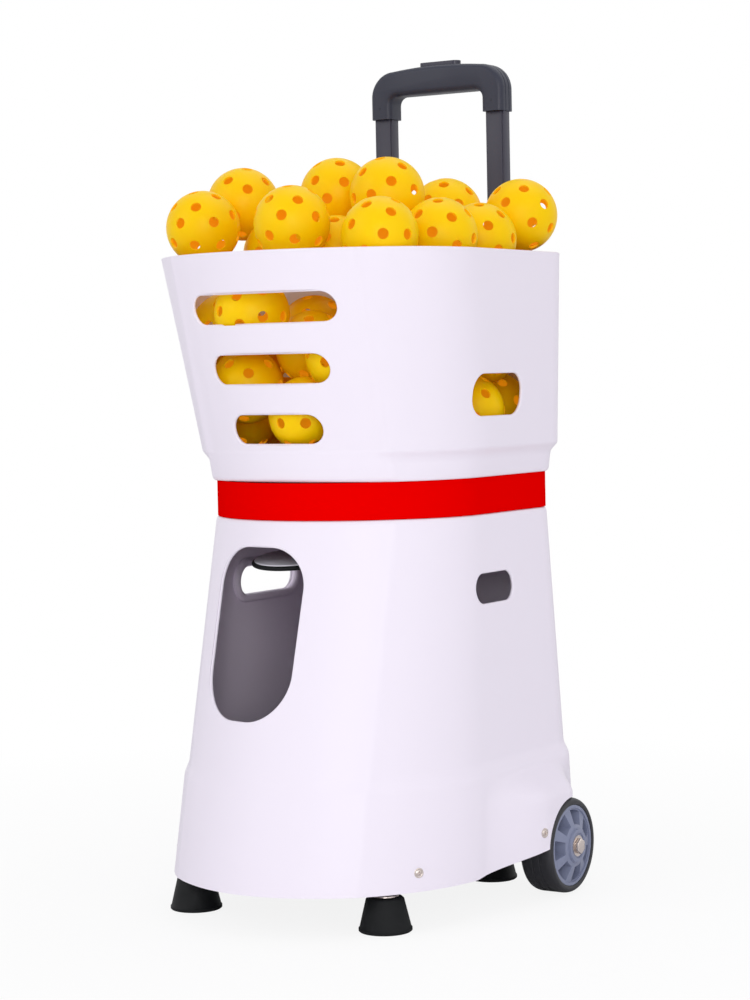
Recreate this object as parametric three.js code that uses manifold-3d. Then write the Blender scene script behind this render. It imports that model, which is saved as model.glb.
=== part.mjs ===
// Wheeled pickleball machine: hopper, feed rotor, aimed two-wheel launcher and trolley handle.
// Millimetres, +Z up, the ball leaves towards -Y.
import * as THREE from "three";
import { mergeVertices } from "three/addons/utils/BufferGeometryUtils.js";
import Module from "manifold-3d";

const wasm = await Module();
wasm.setup();

// Clearances and tool overrun shared by all pieces
const seatGap = 0.3;
const turnGap = 0.6;
const overrun = 6;
const roundSteps = 18;
const fineSteps = 32;

const X = new THREE.Vector3(1, 0, 0);
const Y = new THREE.Vector3(0, 1, 0);
const Z = new THREE.Vector3(0, 0, 1);
const quarterTurn = Math.PI / 2;
const fullTurn = Math.PI * 2;

// Solids: three.js geometry to manifold and back
function solidOf(geometry) {
  const bare = new THREE.BufferGeometry();
  bare.setAttribute("position", geometry.getAttribute("position"));
  if (geometry.index) bare.setIndex(geometry.index);
  const merged = mergeVertices(bare);
  return new wasm.Manifold(
    new wasm.Mesh({
      numProp: 3,
      vertProperties: new Float32Array(merged.attributes.position.array),
      triVerts: new Uint32Array(merged.index.array),
    }),
  );
}

function geometryOf(solid) {
  const mesh = solid.getMesh();
  const geometry = new THREE.BufferGeometry();
  geometry.setAttribute("position", new THREE.BufferAttribute(mesh.vertProperties, 3));
  geometry.setIndex(new THREE.BufferAttribute(mesh.triVerts, 1));
  const flat = geometry.toNonIndexed();
  flat.computeVertexNormals();
  return flat;
}

function cut(geometry, ...tools) {
  return geometryOf(tools.reduce((left, tool) => left.subtract(solidOf(tool)), solidOf(geometry)));
}

function join(geometry, ...others) {
  return geometryOf(others.reduce((all, other) => all.add(solidOf(other)), solidOf(geometry)));
}

function common(geometry, other) {
  return geometryOf(solidOf(geometry).intersect(solidOf(other)));
}

function moved(geometry, x, y, z) {
  return geometry.clone().translate(x, y, z);
}

function mirrored(geometry) {
  const flipped = geometry.index ? geometry.toNonIndexed() : geometry.clone();
  flipped.scale(-1, 1, 1);
  const places = flipped.getAttribute("position");
  const corner = new THREE.Vector3();
  for (let i = 0; i < places.count; i += 3) {
    corner.fromBufferAttribute(places, i + 1);
    places.setXYZ(i + 1, places.getX(i + 2), places.getY(i + 2), places.getZ(i + 2));
    places.setXYZ(i + 2, corner.x, corner.y, corner.z);
  }
  flipped.computeVertexNormals();
  return flipped;
}

// Extrusions, each centred along the way it runs
function alongZ(shape, length, options = {}) {
  const geometry = new THREE.ExtrudeGeometry(shape, {
    depth: length,
    bevelEnabled: false,
    curveSegments: 3,
    ...options,
  });
  return geometry.translate(0, 0, -length / 2);
}

function alongX(shape, length, options) {
  return alongZ(shape, length, options).applyMatrix4(new THREE.Matrix4().makeBasis(Y, Z, X));
}

function alongY(shape, length, options) {
  const back = Y.clone().negate();
  return alongZ(shape, length, options).applyMatrix4(new THREE.Matrix4().makeBasis(X, Z, back));
}

function roundedOutline(width, height, radius) {
  const w = width / 2;
  const h = height / 2;
  const r = Math.min(radius, w, h);
  const shape = new THREE.Shape();
  shape.moveTo(r - w, -h);
  shape.lineTo(w - r, -h);
  shape.absarc(w - r, r - h, r, -quarterTurn, 0);
  shape.lineTo(w, h - r);
  shape.absarc(w - r, h - r, r, 0, quarterTurn);
  shape.lineTo(r - w, h);
  shape.absarc(r - w, h - r, r, quarterTurn, Math.PI);
  shape.lineTo(-w, r - h);
  shape.absarc(r - w, r - h, r, Math.PI, Math.PI + quarterTurn);
  return shape;
}

function roundedBlock(width, depth, height, radius) {
  return alongZ(roundedOutline(width, depth, radius), height, { curveSegments: 2 });
}

function barZ(radius, length, steps = roundSteps, topRadius = radius) {
  return new THREE.CylinderGeometry(topRadius, radius, length, steps).rotateX(quarterTurn);
}

function barX(radius, length, steps = roundSteps, outerRadius = radius) {
  return new THREE.CylinderGeometry(outerRadius, radius, length, steps).rotateZ(-quarterTurn);
}

// Plan section of the body: bowed front, straight sides, rounded rear corners.
// half, nose and rear are measured from the middle; shoulder is where the bow meets the side.
// flares lists how far out the straight side stands at places along it.
const bowSteps = 12;
const cornerSteps = 4;

function planRing(section, inset) {
  const half = section.half - inset;
  const bow = section.nose - section.shoulder - inset;
  const rear = section.rear - inset;
  const corner = section.corner - Math.max(inset, 0);
  const ring = [];
  for (let i = 0; i <= 2 * bowSteps; i += 1) {
    const angle = (quarterTurn * i) / bowSteps;
    const across = Math.cos(angle);
    const ahead = Math.abs(Math.sin(angle));
    ring.push([
      -Math.sign(across) * half * Math.abs(across) ** (2 / section.power),
      -section.shoulder - bow * ahead ** (2 / section.power),
    ]);
  }
  const flares = section.flares ?? [];
  flares.forEach(({ y, out }) => ring.push([half + out, y]));
  for (const side of [1, -1]) {
    for (let i = 0; i <= cornerSteps; i += 1) {
      const angle = (quarterTurn * (side > 0 ? i : cornerSteps - i)) / cornerSteps;
      ring.push([
        side * (half - corner + corner * Math.cos(angle)),
        rear - corner + corner * Math.sin(angle),
      ]);
    }
  }
  flares.toReversed().forEach(({ y, out }) => ring.push([-half - out, y]));
  return ring;
}

function loft(sections, inset = 0) {
  const rings = sections.map((section) => planRing(section, inset));
  const count = rings[0].length;
  const places = [];
  rings.forEach((ring, level) => ring.forEach(([x, y]) => places.push(x, y, sections[level].z)));
  const middle = places.length / 3;
  const last = sections.length - 1;
  places.push(0, 0, sections[0].z, 0, 0, sections[last].z);
  const faces = [];
  for (let i = 0; i < count; i += 1) {
    const j = (i + 1) % count;
    faces.push(middle, j, i, middle + 1, last * count + i, last * count + j);
    for (let level = 0; level < last; level += 1) {
      const low = level * count;
      const high = low + count;
      faces.push(low + i, low + j, high + j, low + i, high + j, high + i);
    }
  }
  const geometry = new THREE.BufferGeometry();
  geometry.setAttribute("position", new THREE.Float32BufferAttribute(places, 3));
  geometry.setIndex(faces);
  return geometry;
}

function sectionAt(lower, upper, z, extraHalf = 0) {
  const share = (z - lower.z) / (upper.z - lower.z);
  const section = { z };
  for (const key of ["half", "nose", "shoulder", "rear", "corner", "power"]) {
    section[key] = THREE.MathUtils.lerp(lower[key], upper[key], share);
  }
  section.half += extraHalf;
  return section;
}

function stretched(sections) {
  const first = sections[0];
  const last = sections[sections.length - 1];
  return [
    { ...first, z: first.z - overrun },
    ...sections,
    { ...last, z: last.z + overrun },
  ];
}

function hollow(sections, wall) {
  return cut(loft(sections), loft(stretched(sections), wall));
}

// Materials
function plastic(color, roughness) {
  return new THREE.MeshStandardMaterial({ color, roughness, metalness: 0 });
}
const shellWhite = plastic(0xece9f3, 0.25);
const bandRed = plastic(0xdc0a12, 0.35);
const handleBlack = plastic(0x2c2e38, 0.5);
const rubberBlack = plastic(0x1b1b1e, 0.8);
const hubGrey = plastic(0x7d86a0, 0.45);
const linerDark = plastic(0x5a505e, 0.5);
const wineRed = plastic(0x7a1030, 0.35);
const innerGrey = plastic(0x8b8d92, 0.5);
const ballYellow = plastic(0xffd200, 0.4);
const paleGrey = plastic(0xc9c9d2, 0.35);
const steel = new THREE.MeshStandardMaterial({ color: 0xb9bcc2, roughness: 0.3, metalness: 1 });

function piece(name, geometry, material) {
  const mesh = new THREE.Mesh(geometry, material);
  mesh.name = name;
  return mesh;
}

// Body sections
const shellWall = 3.5;
const housingFoot = { z: 38, half: 166, nose: 216, shoulder: 40, rear: 170, corner: 36, power: 1.95 };
const housingHead = { z: 387.5, half: 144, nose: 137, shoulder: 5, rear: 162, corner: 36, power: 2 };
const skirtStep = 5;
const skirtTopZ = 131;
const skirtStepHeight = 16;

// Road wheels, set by the width of the skirt
const wheelRadius = 48;
const wheelWidth = 36;
const wheelStand = 24;
const wheelFace = housingFoot.half + wheelStand;
const wheelY = 95;
const wheelX = wheelFace - wheelWidth / 2;
const archGap = 1.5;
const archRadius = wheelRadius + archGap;
const archInner = wheelFace - wheelWidth - turnGap;
const bracketThick = 6;
const bracketX = archInner - seatGap - bracketThick / 2;

// The skirt flares out to the wheel's face in front of it, fully up to the top of the arch
const flareTopZ = 101;
const flareRoundZ = 118;
const flareRoundShare = 0.55;

function flaredAt(z, share, extraHalf = 0) {
  const section = sectionAt(housingFoot, housingHead, z, extraHalf);
  const out = share * (wheelFace - section.half);
  return { ...section, flares: [wheelY - archRadius, wheelY].map((y) => ({ y, out })) };
}

function skirtExtra(z) {
  return ((skirtStep / 2) * (z - housingFoot.z)) / (skirtTopZ - housingFoot.z);
}

const skirtTop = flaredAt(skirtTopZ, 0, skirtExtra(skirtTopZ));
const skirtShoulder = flaredAt(skirtTopZ + skirtStepHeight, 0, -skirtStep / 2);
const housingSections = [
  flaredAt(housingFoot.z, 1),
  flaredAt(flareTopZ, 1, skirtExtra(flareTopZ)),
  flaredAt(flareRoundZ, flareRoundShare, skirtExtra(flareRoundZ)),
  skirtTop,
  skirtShoulder,
  flaredAt(housingHead.z, 0),
];

const bandHeight = 36;
const bandSink = 1.5;
const bandSections = [housingHead.z + seatGap, housingHead.z + seatGap + bandHeight].map((z) => ({
  ...housingHead,
  z,
  half: housingHead.half - bandSink,
  nose: housingHead.nose - bandSink,
  rear: housingHead.rear - bandSink,
}));
const bandTopZ = bandSections[1].z;

const hopperNeck = {
  z: bandTopZ + seatGap,
  half: 147,
  nose: 135,
  shoulder: 3,
  rear: 162,
  corner: 34,
  power: 2.1,
};
const hopperLedgeZ = 449;
const hopperLedgeHeight = 8;
const hopperLedgeStep = 8.5;
const hopperSeat = { ...hopperNeck, z: hopperLedgeZ, half: 149, nose: 138.5 };
const hopperLedge = {
  ...hopperSeat,
  z: hopperLedgeZ + hopperLedgeHeight,
  half: hopperSeat.half + hopperLedgeStep,
  nose: 140,
  shoulder: 0,
  power: 2.2,
};
const hopperRim = { z: 645, half: 172, nose: 186, shoulder: 45, rear: 150, corner: 40, power: 2.1 };
const hopperSections = [hopperNeck, hopperSeat, hopperLedge, hopperRim];

// Openings of the housing
const mouthX = -20.7;
const mouthWidth = 105.6;
const mouthLowZ = 199;
const mouthTopZ = 364;
const mouthRadius = 40;
const gripZ = 316.5;
const gripHeight = 29.4;
const gripRight = { y: 19.5, length: 73 };
const gripLeft = { y: 46.5, length: 103 };

function mouthTool(margin = 0) {
  const outline = roundedOutline(
    mouthWidth + 2 * margin,
    mouthTopZ - mouthLowZ + 2 * margin,
    mouthRadius + margin,
  );
  const reach = housingFoot.nose;
  return moved(alongY(outline, reach), mouthX, -reach / 2 - mouthRadius, (mouthLowZ + mouthTopZ) / 2);
}

function gripTool(side, margin = 0) {
  const grip = side > 0 ? gripRight : gripLeft;
  const height = gripHeight + 2 * margin;
  const outline = roundedOutline(grip.length + 2 * margin, height, height / 2);
  const reach = housingFoot.half;
  return moved(alongX(outline, reach), side * (reach / 2 + mouthWidth), grip.y, gripZ);
}

// The lower edge of the skirt rises from behind the front feet to the wheels
const edgeRiseY = -55;
const edgeRearZ = 52.5;

function edgeTool() {
  const shape = new THREE.Shape();
  const rear = housingFoot.rear + overrun;
  const low = housingFoot.z - overrun;
  shape.moveTo(edgeRiseY, low);
  shape.lineTo(rear, low);
  shape.lineTo(rear, edgeRearZ);
  shape.lineTo(wheelY - archRadius, edgeRearZ);
  shape.lineTo(edgeRiseY, housingFoot.z);
  return alongX(shape, 3 * housingFoot.half);
}

function archTool(startX = archInner) {
  const reach = wheelFace - startX + overrun;
  return moved(barX(archRadius, reach, fineSteps), startX + reach / 2, wheelY, wheelRadius);
}

function housingShell() {
  const arch = archTool();
  return cut(
    hollow(housingSections, shellWall),
    edgeTool(),
    arch,
    mirrored(arch),
    mouthTool(),
    gripTool(1),
    gripTool(-1),
  );
}

// Dark lining behind the mouth, along the inside of the housing
const liningThick = 2;
const liningLowZ = 178;
const liningTopGap = 4.5;
const liningTopZ = housingHead.z - liningTopGap;
const liningRearY = 112;
const liningMargin = 4;

function mouthLining() {
  const levels = [liningLowZ, liningTopZ].map((z) => sectionAt(skirtShoulder, housingHead, z));
  const outer = shellWall + seatGap;
  const skin = cut(loft(levels, outer), loft(stretched(levels), outer + liningThick));
  const reach = housingFoot.rear;
  const rear = moved(
    new THREE.BoxGeometry(2 * housingFoot.half, reach, housingHead.z),
    0,
    liningRearY + reach / 2,
    (liningLowZ + liningTopZ) / 2,
  );
  return cut(skin, rear, mouthTool(liningMargin), gripTool(1, liningMargin), gripTool(-1));
}

// Base plate on four rubber feet
const footHeight = 33;
const footRadius = 25.7;
const footTopRadius = 18;
const footFrontX = 111;
const footFrontY = -138;
const footRearX = 80;
const footRearY = 122;
const footPlaces = [
  ["front_left", -footFrontX, footFrontY],
  ["front_right", footFrontX, footFrontY],
  ["rear_left", -footRearX, footRearY],
  ["rear_right", footRearX, footRearY],
];
const plateLift = 1.5;
const plateLowZ = edgeRearZ + plateLift;
const plateThick = 5;
const plateTopZ = plateLowZ + plateThick;
const bossRadius = 9;

function basePlate() {
  const levels = [plateLowZ, plateTopZ].map((z) => sectionAt(housingFoot, skirtTop, z));
  const plate = loft(levels, shellWall + seatGap);
  const bossHeight = plateTopZ - footHeight - seatGap;
  const bosses = footPlaces.map(([, x, y]) =>
    moved(barZ(bossRadius, bossHeight), x, y, plateTopZ - bossHeight / 2),
  );
  const notch = archTool(bracketX - bracketThick / 2 - seatGap);
  return cut(join(plate, ...bosses), notch, mirrored(notch));
}

function foot() {
  const lip = 4;
  return join(
    moved(barZ(footRadius, lip, fineSteps), 0, 0, lip / 2),
    moved(barZ(footRadius, footHeight - lip, fineSteps, footTopRadius), 0, 0, (footHeight + lip) / 2),
  );
}

// Road wheel: tyre, windowed hub dished outwards, stub axle on its bracket
const hubRadius = 41;
const hubRecess = 1;
const hubRimWidth = 3;
const hubRimDepth = 1.5;
const hubDish = 6;
const hubBossRadius = 17.5;
const axleRadius = 6;
const windowInner = 21.5;
const windowCount = 7;
const windowDepth = 14;
const windowCorner = 2;
const tyreRound = 5;
const shoulderWidth = 8;
const shoulderDrop = 3.5;

function tyre(outer, inner, width, round, steps, drop = round) {
  const half = width / 2;
  const profile = new THREE.Path();
  profile.moveTo(inner, -half);
  profile.lineTo(outer - drop, -half);
  profile.absellipse(outer - drop, round - half, drop, round, -quarterTurn, 0);
  profile.lineTo(outer, half - round);
  profile.absellipse(outer - drop, half - round, drop, round, 0, quarterTurn);
  profile.lineTo(inner, half);
  profile.lineTo(inner, -half);
  return new THREE.LatheGeometry(profile.getPoints(1), steps).rotateZ(-quarterTurn);
}

function roadTyre() {
  return tyre(wheelRadius, hubRadius, wheelWidth, shoulderWidth, fineSteps, shoulderDrop);
}

function hubWindow() {
  const spokeShare = 0.36;
  const sweep = (fullTurn / windowCount) * (1 - spokeShare);
  const outer = hubRadius - hubRimWidth - windowCorner;
  const shape = new THREE.Shape();
  shape.absarc(0, 0, outer, -sweep / 2, sweep / 2);
  shape.absarc(0, 0, windowInner, sweep / 2, -sweep / 2, true);
  return alongX(shape, 2 * windowDepth, { curveSegments: 2 });
}

function hubProfile() {
  const rear = hubRecess - wheelWidth / 2;
  const face = wheelWidth / 2 - hubRecess;
  const rim = hubRadius - seatGap;
  return [
    new THREE.Vector2(0, rear),
    new THREE.Vector2(rim, rear),
    new THREE.Vector2(rim, face),
    new THREE.Vector2(rim - hubRimWidth, face),
    new THREE.Vector2(rim - hubRimWidth, face - hubRimDepth),
    new THREE.Vector2(hubBossRadius, face + hubDish - hubRimDepth),
    new THREE.Vector2(hubBossRadius, face + hubDish),
    new THREE.Vector2(0, face + hubDish),
  ];
}

function wheelHub() {
  const body = new THREE.LatheGeometry(hubProfile(), fineSteps).rotateZ(-quarterTurn);
  const windows = Array.from({ length: windowCount }, (_, i) => {
    const tool = hubWindow().rotateX((fullTurn * (i + 0.5)) / windowCount);
    return moved(tool, wheelWidth / 2 - hubRecess + hubRimDepth, 0, 0);
  });
  return cut(body, barX(axleRadius + turnGap / 2, 2 * wheelWidth), ...windows);
}

const boltHeadRadius = 8;
const boltHeadHeight = 4;
const bracketMargin = 1.5;
const bracketDrop = 12;

function axleBracket() {
  const height = bracketDrop + archRadius / 2;
  const plate = new THREE.BoxGeometry(bracketThick, 2 * (archRadius - bracketMargin), height);
  const pinEnd = wheelFace - hubRecess + hubDish + turnGap;
  const pinLength = pinEnd - bracketX;
  return join(
    moved(plate, 0, 0, height / 2 - bracketDrop),
    moved(barX(axleRadius, pinLength), pinLength / 2, 0, 0),
    moved(barX(boltHeadRadius, boltHeadHeight, 6), pinLength + boltHeadHeight / 2, 0, 0),
  );
}

// Launcher: column, turntable, ball scoop, tilting cradle, two driven wheels
const ballRadius = 37;
const launchX = mouthX;
const launchZ = 265;
const dropY = 88;
const yawY = 20;
const columnRadius = 30;
const turntableRadius = 60;
const turntableThick = 6;
const turntableLowZ = 138;
const yawShaftRadius = 10;
const yawShaftLength = 30;
const scoopHalfWidth = 48;
const scoopWall = 3;
const scoopRearRoom = 4;
const scoopRearY = dropY + ballRadius + scoopRearRoom;
const ballPlay = 1;
const scoopFloorZ = launchZ - ballRadius - ballPlay;
const scoopRadius = 50;
const scoopTopZ = 330;
const pivotY = 43;
const pivotRadius = 5;
const earRadius = 14;

function turntableColumn() {
  const lowZ = plateTopZ + seatGap;
  const height = turntableLowZ - seatGap - lowZ;
  const flange = 8;
  const bore = moved(
    barZ(yawShaftRadius + seatGap, yawShaftLength + overrun),
    0,
    0,
    height - (yawShaftLength - overrun) / 2,
  );
  return cut(
    join(
      moved(barZ(columnRadius, height), 0, 0, height / 2),
      moved(barZ(columnRadius + 2 * flange, flange, fineSteps), 0, 0, flange / 2),
    ),
    bore,
  );
}

const postWidth = 60;
const postDepth = 22;
const postY = 66;
const postRound = 4;

function yawTurntable() {
  const rise = scoopFloorZ - scoopWall - seatGap - turntableLowZ;
  return join(
    moved(barZ(turntableRadius, turntableThick, fineSteps), 0, 0, turntableThick / 2),
    moved(barZ(yawShaftRadius, yawShaftLength), 0, 0, seatGap - yawShaftLength / 2),
    moved(roundedBlock(postWidth, postDepth, rise, postRound), 0, postY - yawY, rise / 2),
  );
}

function ballScoop() {
  const frontY = pivotY - earRadius;
  const outline = (wall, over) => {
    const shape = new THREE.Shape();
    const rear = scoopRearY + wall;
    const floor = scoopFloorZ - wall;
    const radius = scoopRadius + wall;
    shape.moveTo(frontY - over, floor);
    shape.lineTo(rear - radius, floor);
    shape.absarc(rear - radius, floor + radius, radius, -quarterTurn, 0);
    shape.lineTo(rear, scoopTopZ + over);
    shape.lineTo(dropY - ballRadius, scoopTopZ + over);
    if (over) shape.lineTo(frontY - over, scoopTopZ + over);
    else shape.lineTo(frontY, launchZ + ballRadius);
    return shape;
  };
  const outer = alongX(outline(scoopWall, 0), 2 * (scoopHalfWidth + scoopWall));
  const inner = alongX(outline(0, overrun), 2 * scoopHalfWidth);
  const pinBore = moved(barX(pivotRadius + seatGap, 3 * scoopHalfWidth), 0, pivotY, launchZ);
  return cut(outer, inner, pinBore);
}

const launchWheelRadius = 38;
const launchWheelWidth = 30;
const nip = 66;
const launchWheelY = -10;
const launchWheelRise = launchWheelRadius + nip / 2;
const cradlePlate = 4;
const cradleX = scoopHalfWidth + scoopWall + seatGap + cradlePlate / 2;
const motorRadius = 22;
const motorLength = 46;
const shaftRadius = 5;
const cradleMargin = 12;
const visorRadius = 45;
const visorThick = 4;
const visorY = -75;
const visorZ = 347;
const visorTilt = THREE.MathUtils.degToRad(8);
const visorNotchRoom = 7;
const visorNotch = launchWheelWidth + 2 * visorNotchRoom;
const barGap = 2.7;
const visorArmWidth = 16;

// Cradle in the frame of its pivot: long right plate, short left ear, bar under the ball's way
function launcherCradle() {
  const wheelAt = launchWheelY - pivotY;
  const reach = launchWheelRise + cradleMargin;
  const plate = new THREE.Shape();
  plate.moveTo(earRadius, -earRadius);
  plate.absarc(0, 0, earRadius, -quarterTurn / 2, quarterTurn / 2);
  plate.lineTo(wheelAt + cradleMargin, reach);
  plate.absarc(wheelAt, reach, cradleMargin, 0, Math.PI);
  plate.lineTo(wheelAt - cradleMargin, -reach);
  plate.absarc(wheelAt, -reach, cradleMargin, Math.PI, fullTurn);
  const shaftHoles = [1, -1].map((side) =>
    moved(barX(shaftRadius + seatGap, 3 * cradlePlate), cradleX, wheelAt, side * launchWheelRise),
  );
  const right = cut(moved(alongX(plate, cradlePlate), cradleX, 0, 0), ...shaftHoles);
  const left = moved(barX(earRadius, cradlePlate), -cradleX, 0, 0);
  const pin = barX(pivotRadius, 2 * cradleX);
  const pinPassage = barX(pivotRadius + seatGap, 2 * scoopHalfWidth);
  const pins = cut(pin, pinPassage);
  const barDrop = launchZ - scoopFloorZ + scoopWall + barGap;
  const barSize = 8;
  const bar = moved(
    new THREE.BoxGeometry(2 * cradleX + cradlePlate, barSize, barSize),
    0,
    -earRadius + barSize / 2,
    -barDrop - barSize / 2,
  );
  const leftArm = moved(
    new THREE.BoxGeometry(cradlePlate, barSize, barDrop + barSize),
    -cradleX,
    -earRadius + barSize / 2,
    -(barDrop + barSize) / 2,
  );
  const rightArm = moved(leftArm, 2 * cradleX, 0, 0);
  return join(right, left, pins, bar, leftArm, rightArm);
}

// Disc above the ball's way, notched round the upper launch wheel
function launcherVisor() {
  const disc = barZ(visorRadius, visorThick, fineSteps);
  const armSide = cradleX - cradlePlate / 2 - seatGap;
  const armLength = launchWheelY - visorY + cradleMargin / 2;
  const arm = moved(
    new THREE.BoxGeometry(visorArmWidth, armLength, visorThick),
    armSide - visorArmWidth / 2,
    armLength / 2,
    0,
  );
  const notch = moved(
    new THREE.BoxGeometry(visorNotch, visorRadius, 4 * visorThick),
    0,
    visorRadius / 2 + launchWheelY - launchWheelRadius - 2 * turnGap - visorY,
    0,
  );
  return cut(join(disc, arm), notch);
}

function launchMotor() {
  const cap = 8;
  return join(
    moved(barX(motorRadius, motorLength), motorLength / 2, 0, 0),
    moved(barX(motorRadius / 2, cap), motorLength + cap / 2, 0, 0),
  );
}

const launchHubRadius = 24;

function launchHub() {
  const shaftLength = cradleX + cradlePlate / 2;
  return join(
    barX(launchHubRadius, launchWheelWidth),
    moved(barX(shaftRadius, shaftLength), shaftLength / 2, 0, 0),
  );
}

// Feed: deck with drop hole, five-pocket rotor, motor under the deck
const deckThick = 6;
const deckDrop = 8;
const deckLowZ = bandTopZ - deckDrop;
const deckTopZ = deckLowZ + deckThick;
const dropRoom = 3;
const dropRadius = ballRadius + dropRoom;
const collarWall = 3;
const collarHeight = 34;
const pocketCircle = 70;
const pocketRoom = 1.5;
const pocketRadius = ballRadius + pocketRoom;
const pocketCount = 5;
const rotorRadius = 98;
const rotorHeight = 28;
const rotorY = dropY - Math.sqrt(pocketCircle ** 2 - launchX ** 2);
const feedShaftRadius = 4;

function feedDeck() {
  const plate = loft(
    [deckLowZ, deckTopZ].map((z) => ({ ...bandSections[0], z })),
    shellWall + seatGap,
  );
  const collar = moved(
    barZ(dropRadius + collarWall, collarHeight, fineSteps),
    launchX,
    dropY,
    deckTopZ - collarHeight / 2,
  );
  const drop = moved(
    barZ(dropRadius, 2 * collarHeight + overrun, fineSteps),
    launchX,
    dropY,
    deckTopZ - collarHeight / 2,
  );
  const shaftHole = moved(barZ(feedShaftRadius + seatGap, 4 * deckThick), 0, rotorY, deckTopZ);
  return cut(join(plate, collar), drop, shaftHole);
}

function feedRotor() {
  const start = Math.atan2(dropY - rotorY, launchX);
  const pockets = Array.from({ length: pocketCount }, (_, i) => {
    const angle = start + (fullTurn * i) / pocketCount;
    const tool = barZ(pocketRadius, rotorHeight + overrun);
    return moved(tool, pocketCircle * Math.cos(angle), pocketCircle * Math.sin(angle), rotorHeight / 2);
  });
  const coneHeight = 10;
  const body = join(
    moved(barZ(rotorRadius, rotorHeight, fineSteps), 0, 0, rotorHeight / 2),
    moved(barZ(pocketRadius, coneHeight, roundSteps, shaftRadius), 0, 0, rotorHeight + coneHeight / 2),
  );
  const bore = moved(barZ(feedShaftRadius + seatGap, rotorHeight + overrun), 0, 0, 0);
  return cut(body, bore, ...pockets);
}

const feedMotorRadius = 18;
const feedMotorHeight = 24;

function feedMotor() {
  const shaftLength = deckThick + rotorHeight / 2;
  return join(
    moved(barZ(feedMotorRadius, feedMotorHeight), 0, 0, -feedMotorHeight / 2),
    moved(barZ(feedShaftRadius, shaftLength), 0, 0, shaftLength / 2 - seatGap),
  );
}

// Hopper: slotted shell and a shallow funnel round the rotor
const slotHeight = 28;
const slotLowZ = 476;
const slotPitch = 58;
const slotLength = 102;
const slotGrowth = 31;
const slotCount = 3;
const windowZ = 505;
const windowY = 9.5;
const windowLength = 92;
const windowHeight = 41;
const windowRadius = 18;

function hopperShell() {
  const reach = hopperRim.nose;
  const slotTools = Array.from({ length: slotCount }, (_, i) => {
    const outline = roundedOutline(slotLength + i * slotGrowth, slotHeight, slotHeight / 2);
    return moved(alongY(outline, reach), 0, -reach / 2 - windowRadius, slotLowZ + i * slotPitch);
  });
  const windowTool = moved(
    alongX(roundedOutline(windowLength, windowHeight, windowRadius), 3 * hopperRim.half),
    0,
    windowY,
    windowZ,
  );
  return cut(hollow(hopperSections, shellWall), windowTool, ...slotTools);
}

const floorMouthGap = 4;
const floorMouth = rotorRadius + floorMouthGap;
const floorThick = 3;
const floorSink = 4;
const floorLowZ = deckTopZ + rotorHeight - floorSink;
const floorSlope = 0.07;

function hopperFloor() {
  const reach = hopperRim.half + hopperRim.nose;
  const rise = (reach - floorMouth) * floorSlope;
  const profile = [
    new THREE.Vector2(floorMouth, 0),
    new THREE.Vector2(reach, rise),
    new THREE.Vector2(reach, rise + floorThick),
    new THREE.Vector2(floorMouth, floorThick),
    new THREE.Vector2(floorMouth, 0),
  ];
  const cone = new THREE.LatheGeometry(profile, fineSteps).rotateX(quarterTurn);
  return common(moved(cone, 0, rotorY, floorLowZ), loft(hopperSections, shellWall + seatGap));
}

// Trolley handle: guides on the back, two posts, grip with sleeves, release button
const handleY = 182;
const postX = 68.4;
const handlePostWidth = 29.5;
const handlePostDepth = 16;
const guideWall = 2.5;
const guideLowZ = 45;
const guideTopZ = 454;
const handleLowZ = 385;
const slideGap = 0.4;
const guideRound = 4;
const postEdge = 2.5;

function guideTube() {
  const width = handlePostWidth + 2 * slideGap;
  const depth = handlePostDepth + 2 * slideGap;
  const height = guideTopZ - guideLowZ;
  return cut(
    roundedBlock(width + 2 * guideWall, depth + 2 * guideWall, height, guideRound),
    new THREE.BoxGeometry(width, depth, height + overrun),
  );
}

const bracketHeight = 24;
const strapCover = 3;
const strapEnd = 8;
const strapRound = 3;
const bracketRear = handleY + handlePostDepth / 2 + slideGap + guideWall + seatGap + strapCover;
const strapWidth = 2 * (postX + strapEnd) + handlePostWidth + 4 * guideWall;

function guideBracket(z) {
  const depth = bracketRear - hopperRim.rear;
  const block = moved(
    roundedBlock(strapWidth, depth, bracketHeight, strapRound),
    0,
    bracketRear - depth / 2,
    z,
  );
  const clearWidth = handlePostWidth + 2 * (slideGap + guideWall + seatGap);
  const clearDepth = handlePostDepth + 2 * (slideGap + guideWall + seatGap);
  const holes = [-postX, postX].map((x) =>
    moved(new THREE.BoxGeometry(clearWidth, clearDepth, bracketHeight + overrun), x, handleY, z),
  );
  const sections = z > hopperNeck.z ? hopperSections : housingSections;
  return cut(block, loft(sections, -seatGap), ...holes);
}

const postTopZ = 816;
const grooveWidth = 4;
const grooveDepth = 2;
const grooveShare = 0.12;

function handlePost() {
  const height = postTopZ - handleLowZ;
  const groove = moved(
    new THREE.BoxGeometry(grooveWidth, 2 * grooveDepth, height + overrun),
    grooveShare * handlePostWidth,
    -handlePostDepth / 2,
    0,
  );
  return cut(roundedBlock(handlePostWidth, handlePostDepth, height, postEdge), groove);
}

const gripHalf = 88.5;
const gripTop = 855;
const gripUnder = 821;
const sleeveLowZ = 794;
const sleeveInner = 49;
const gripCorner = 30;
const gripDepth = 28;
const gripRound = 5;
const gripCrown = 5;
const releaseWidth = 48;
const releaseDepth = 13;
const releaseTravel = 4;
const releaseStand = 3;
const releaseHeight = 9;
const releasePocketZ = gripTop + releaseStand - releaseHeight - releaseTravel - turnGap;

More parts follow.
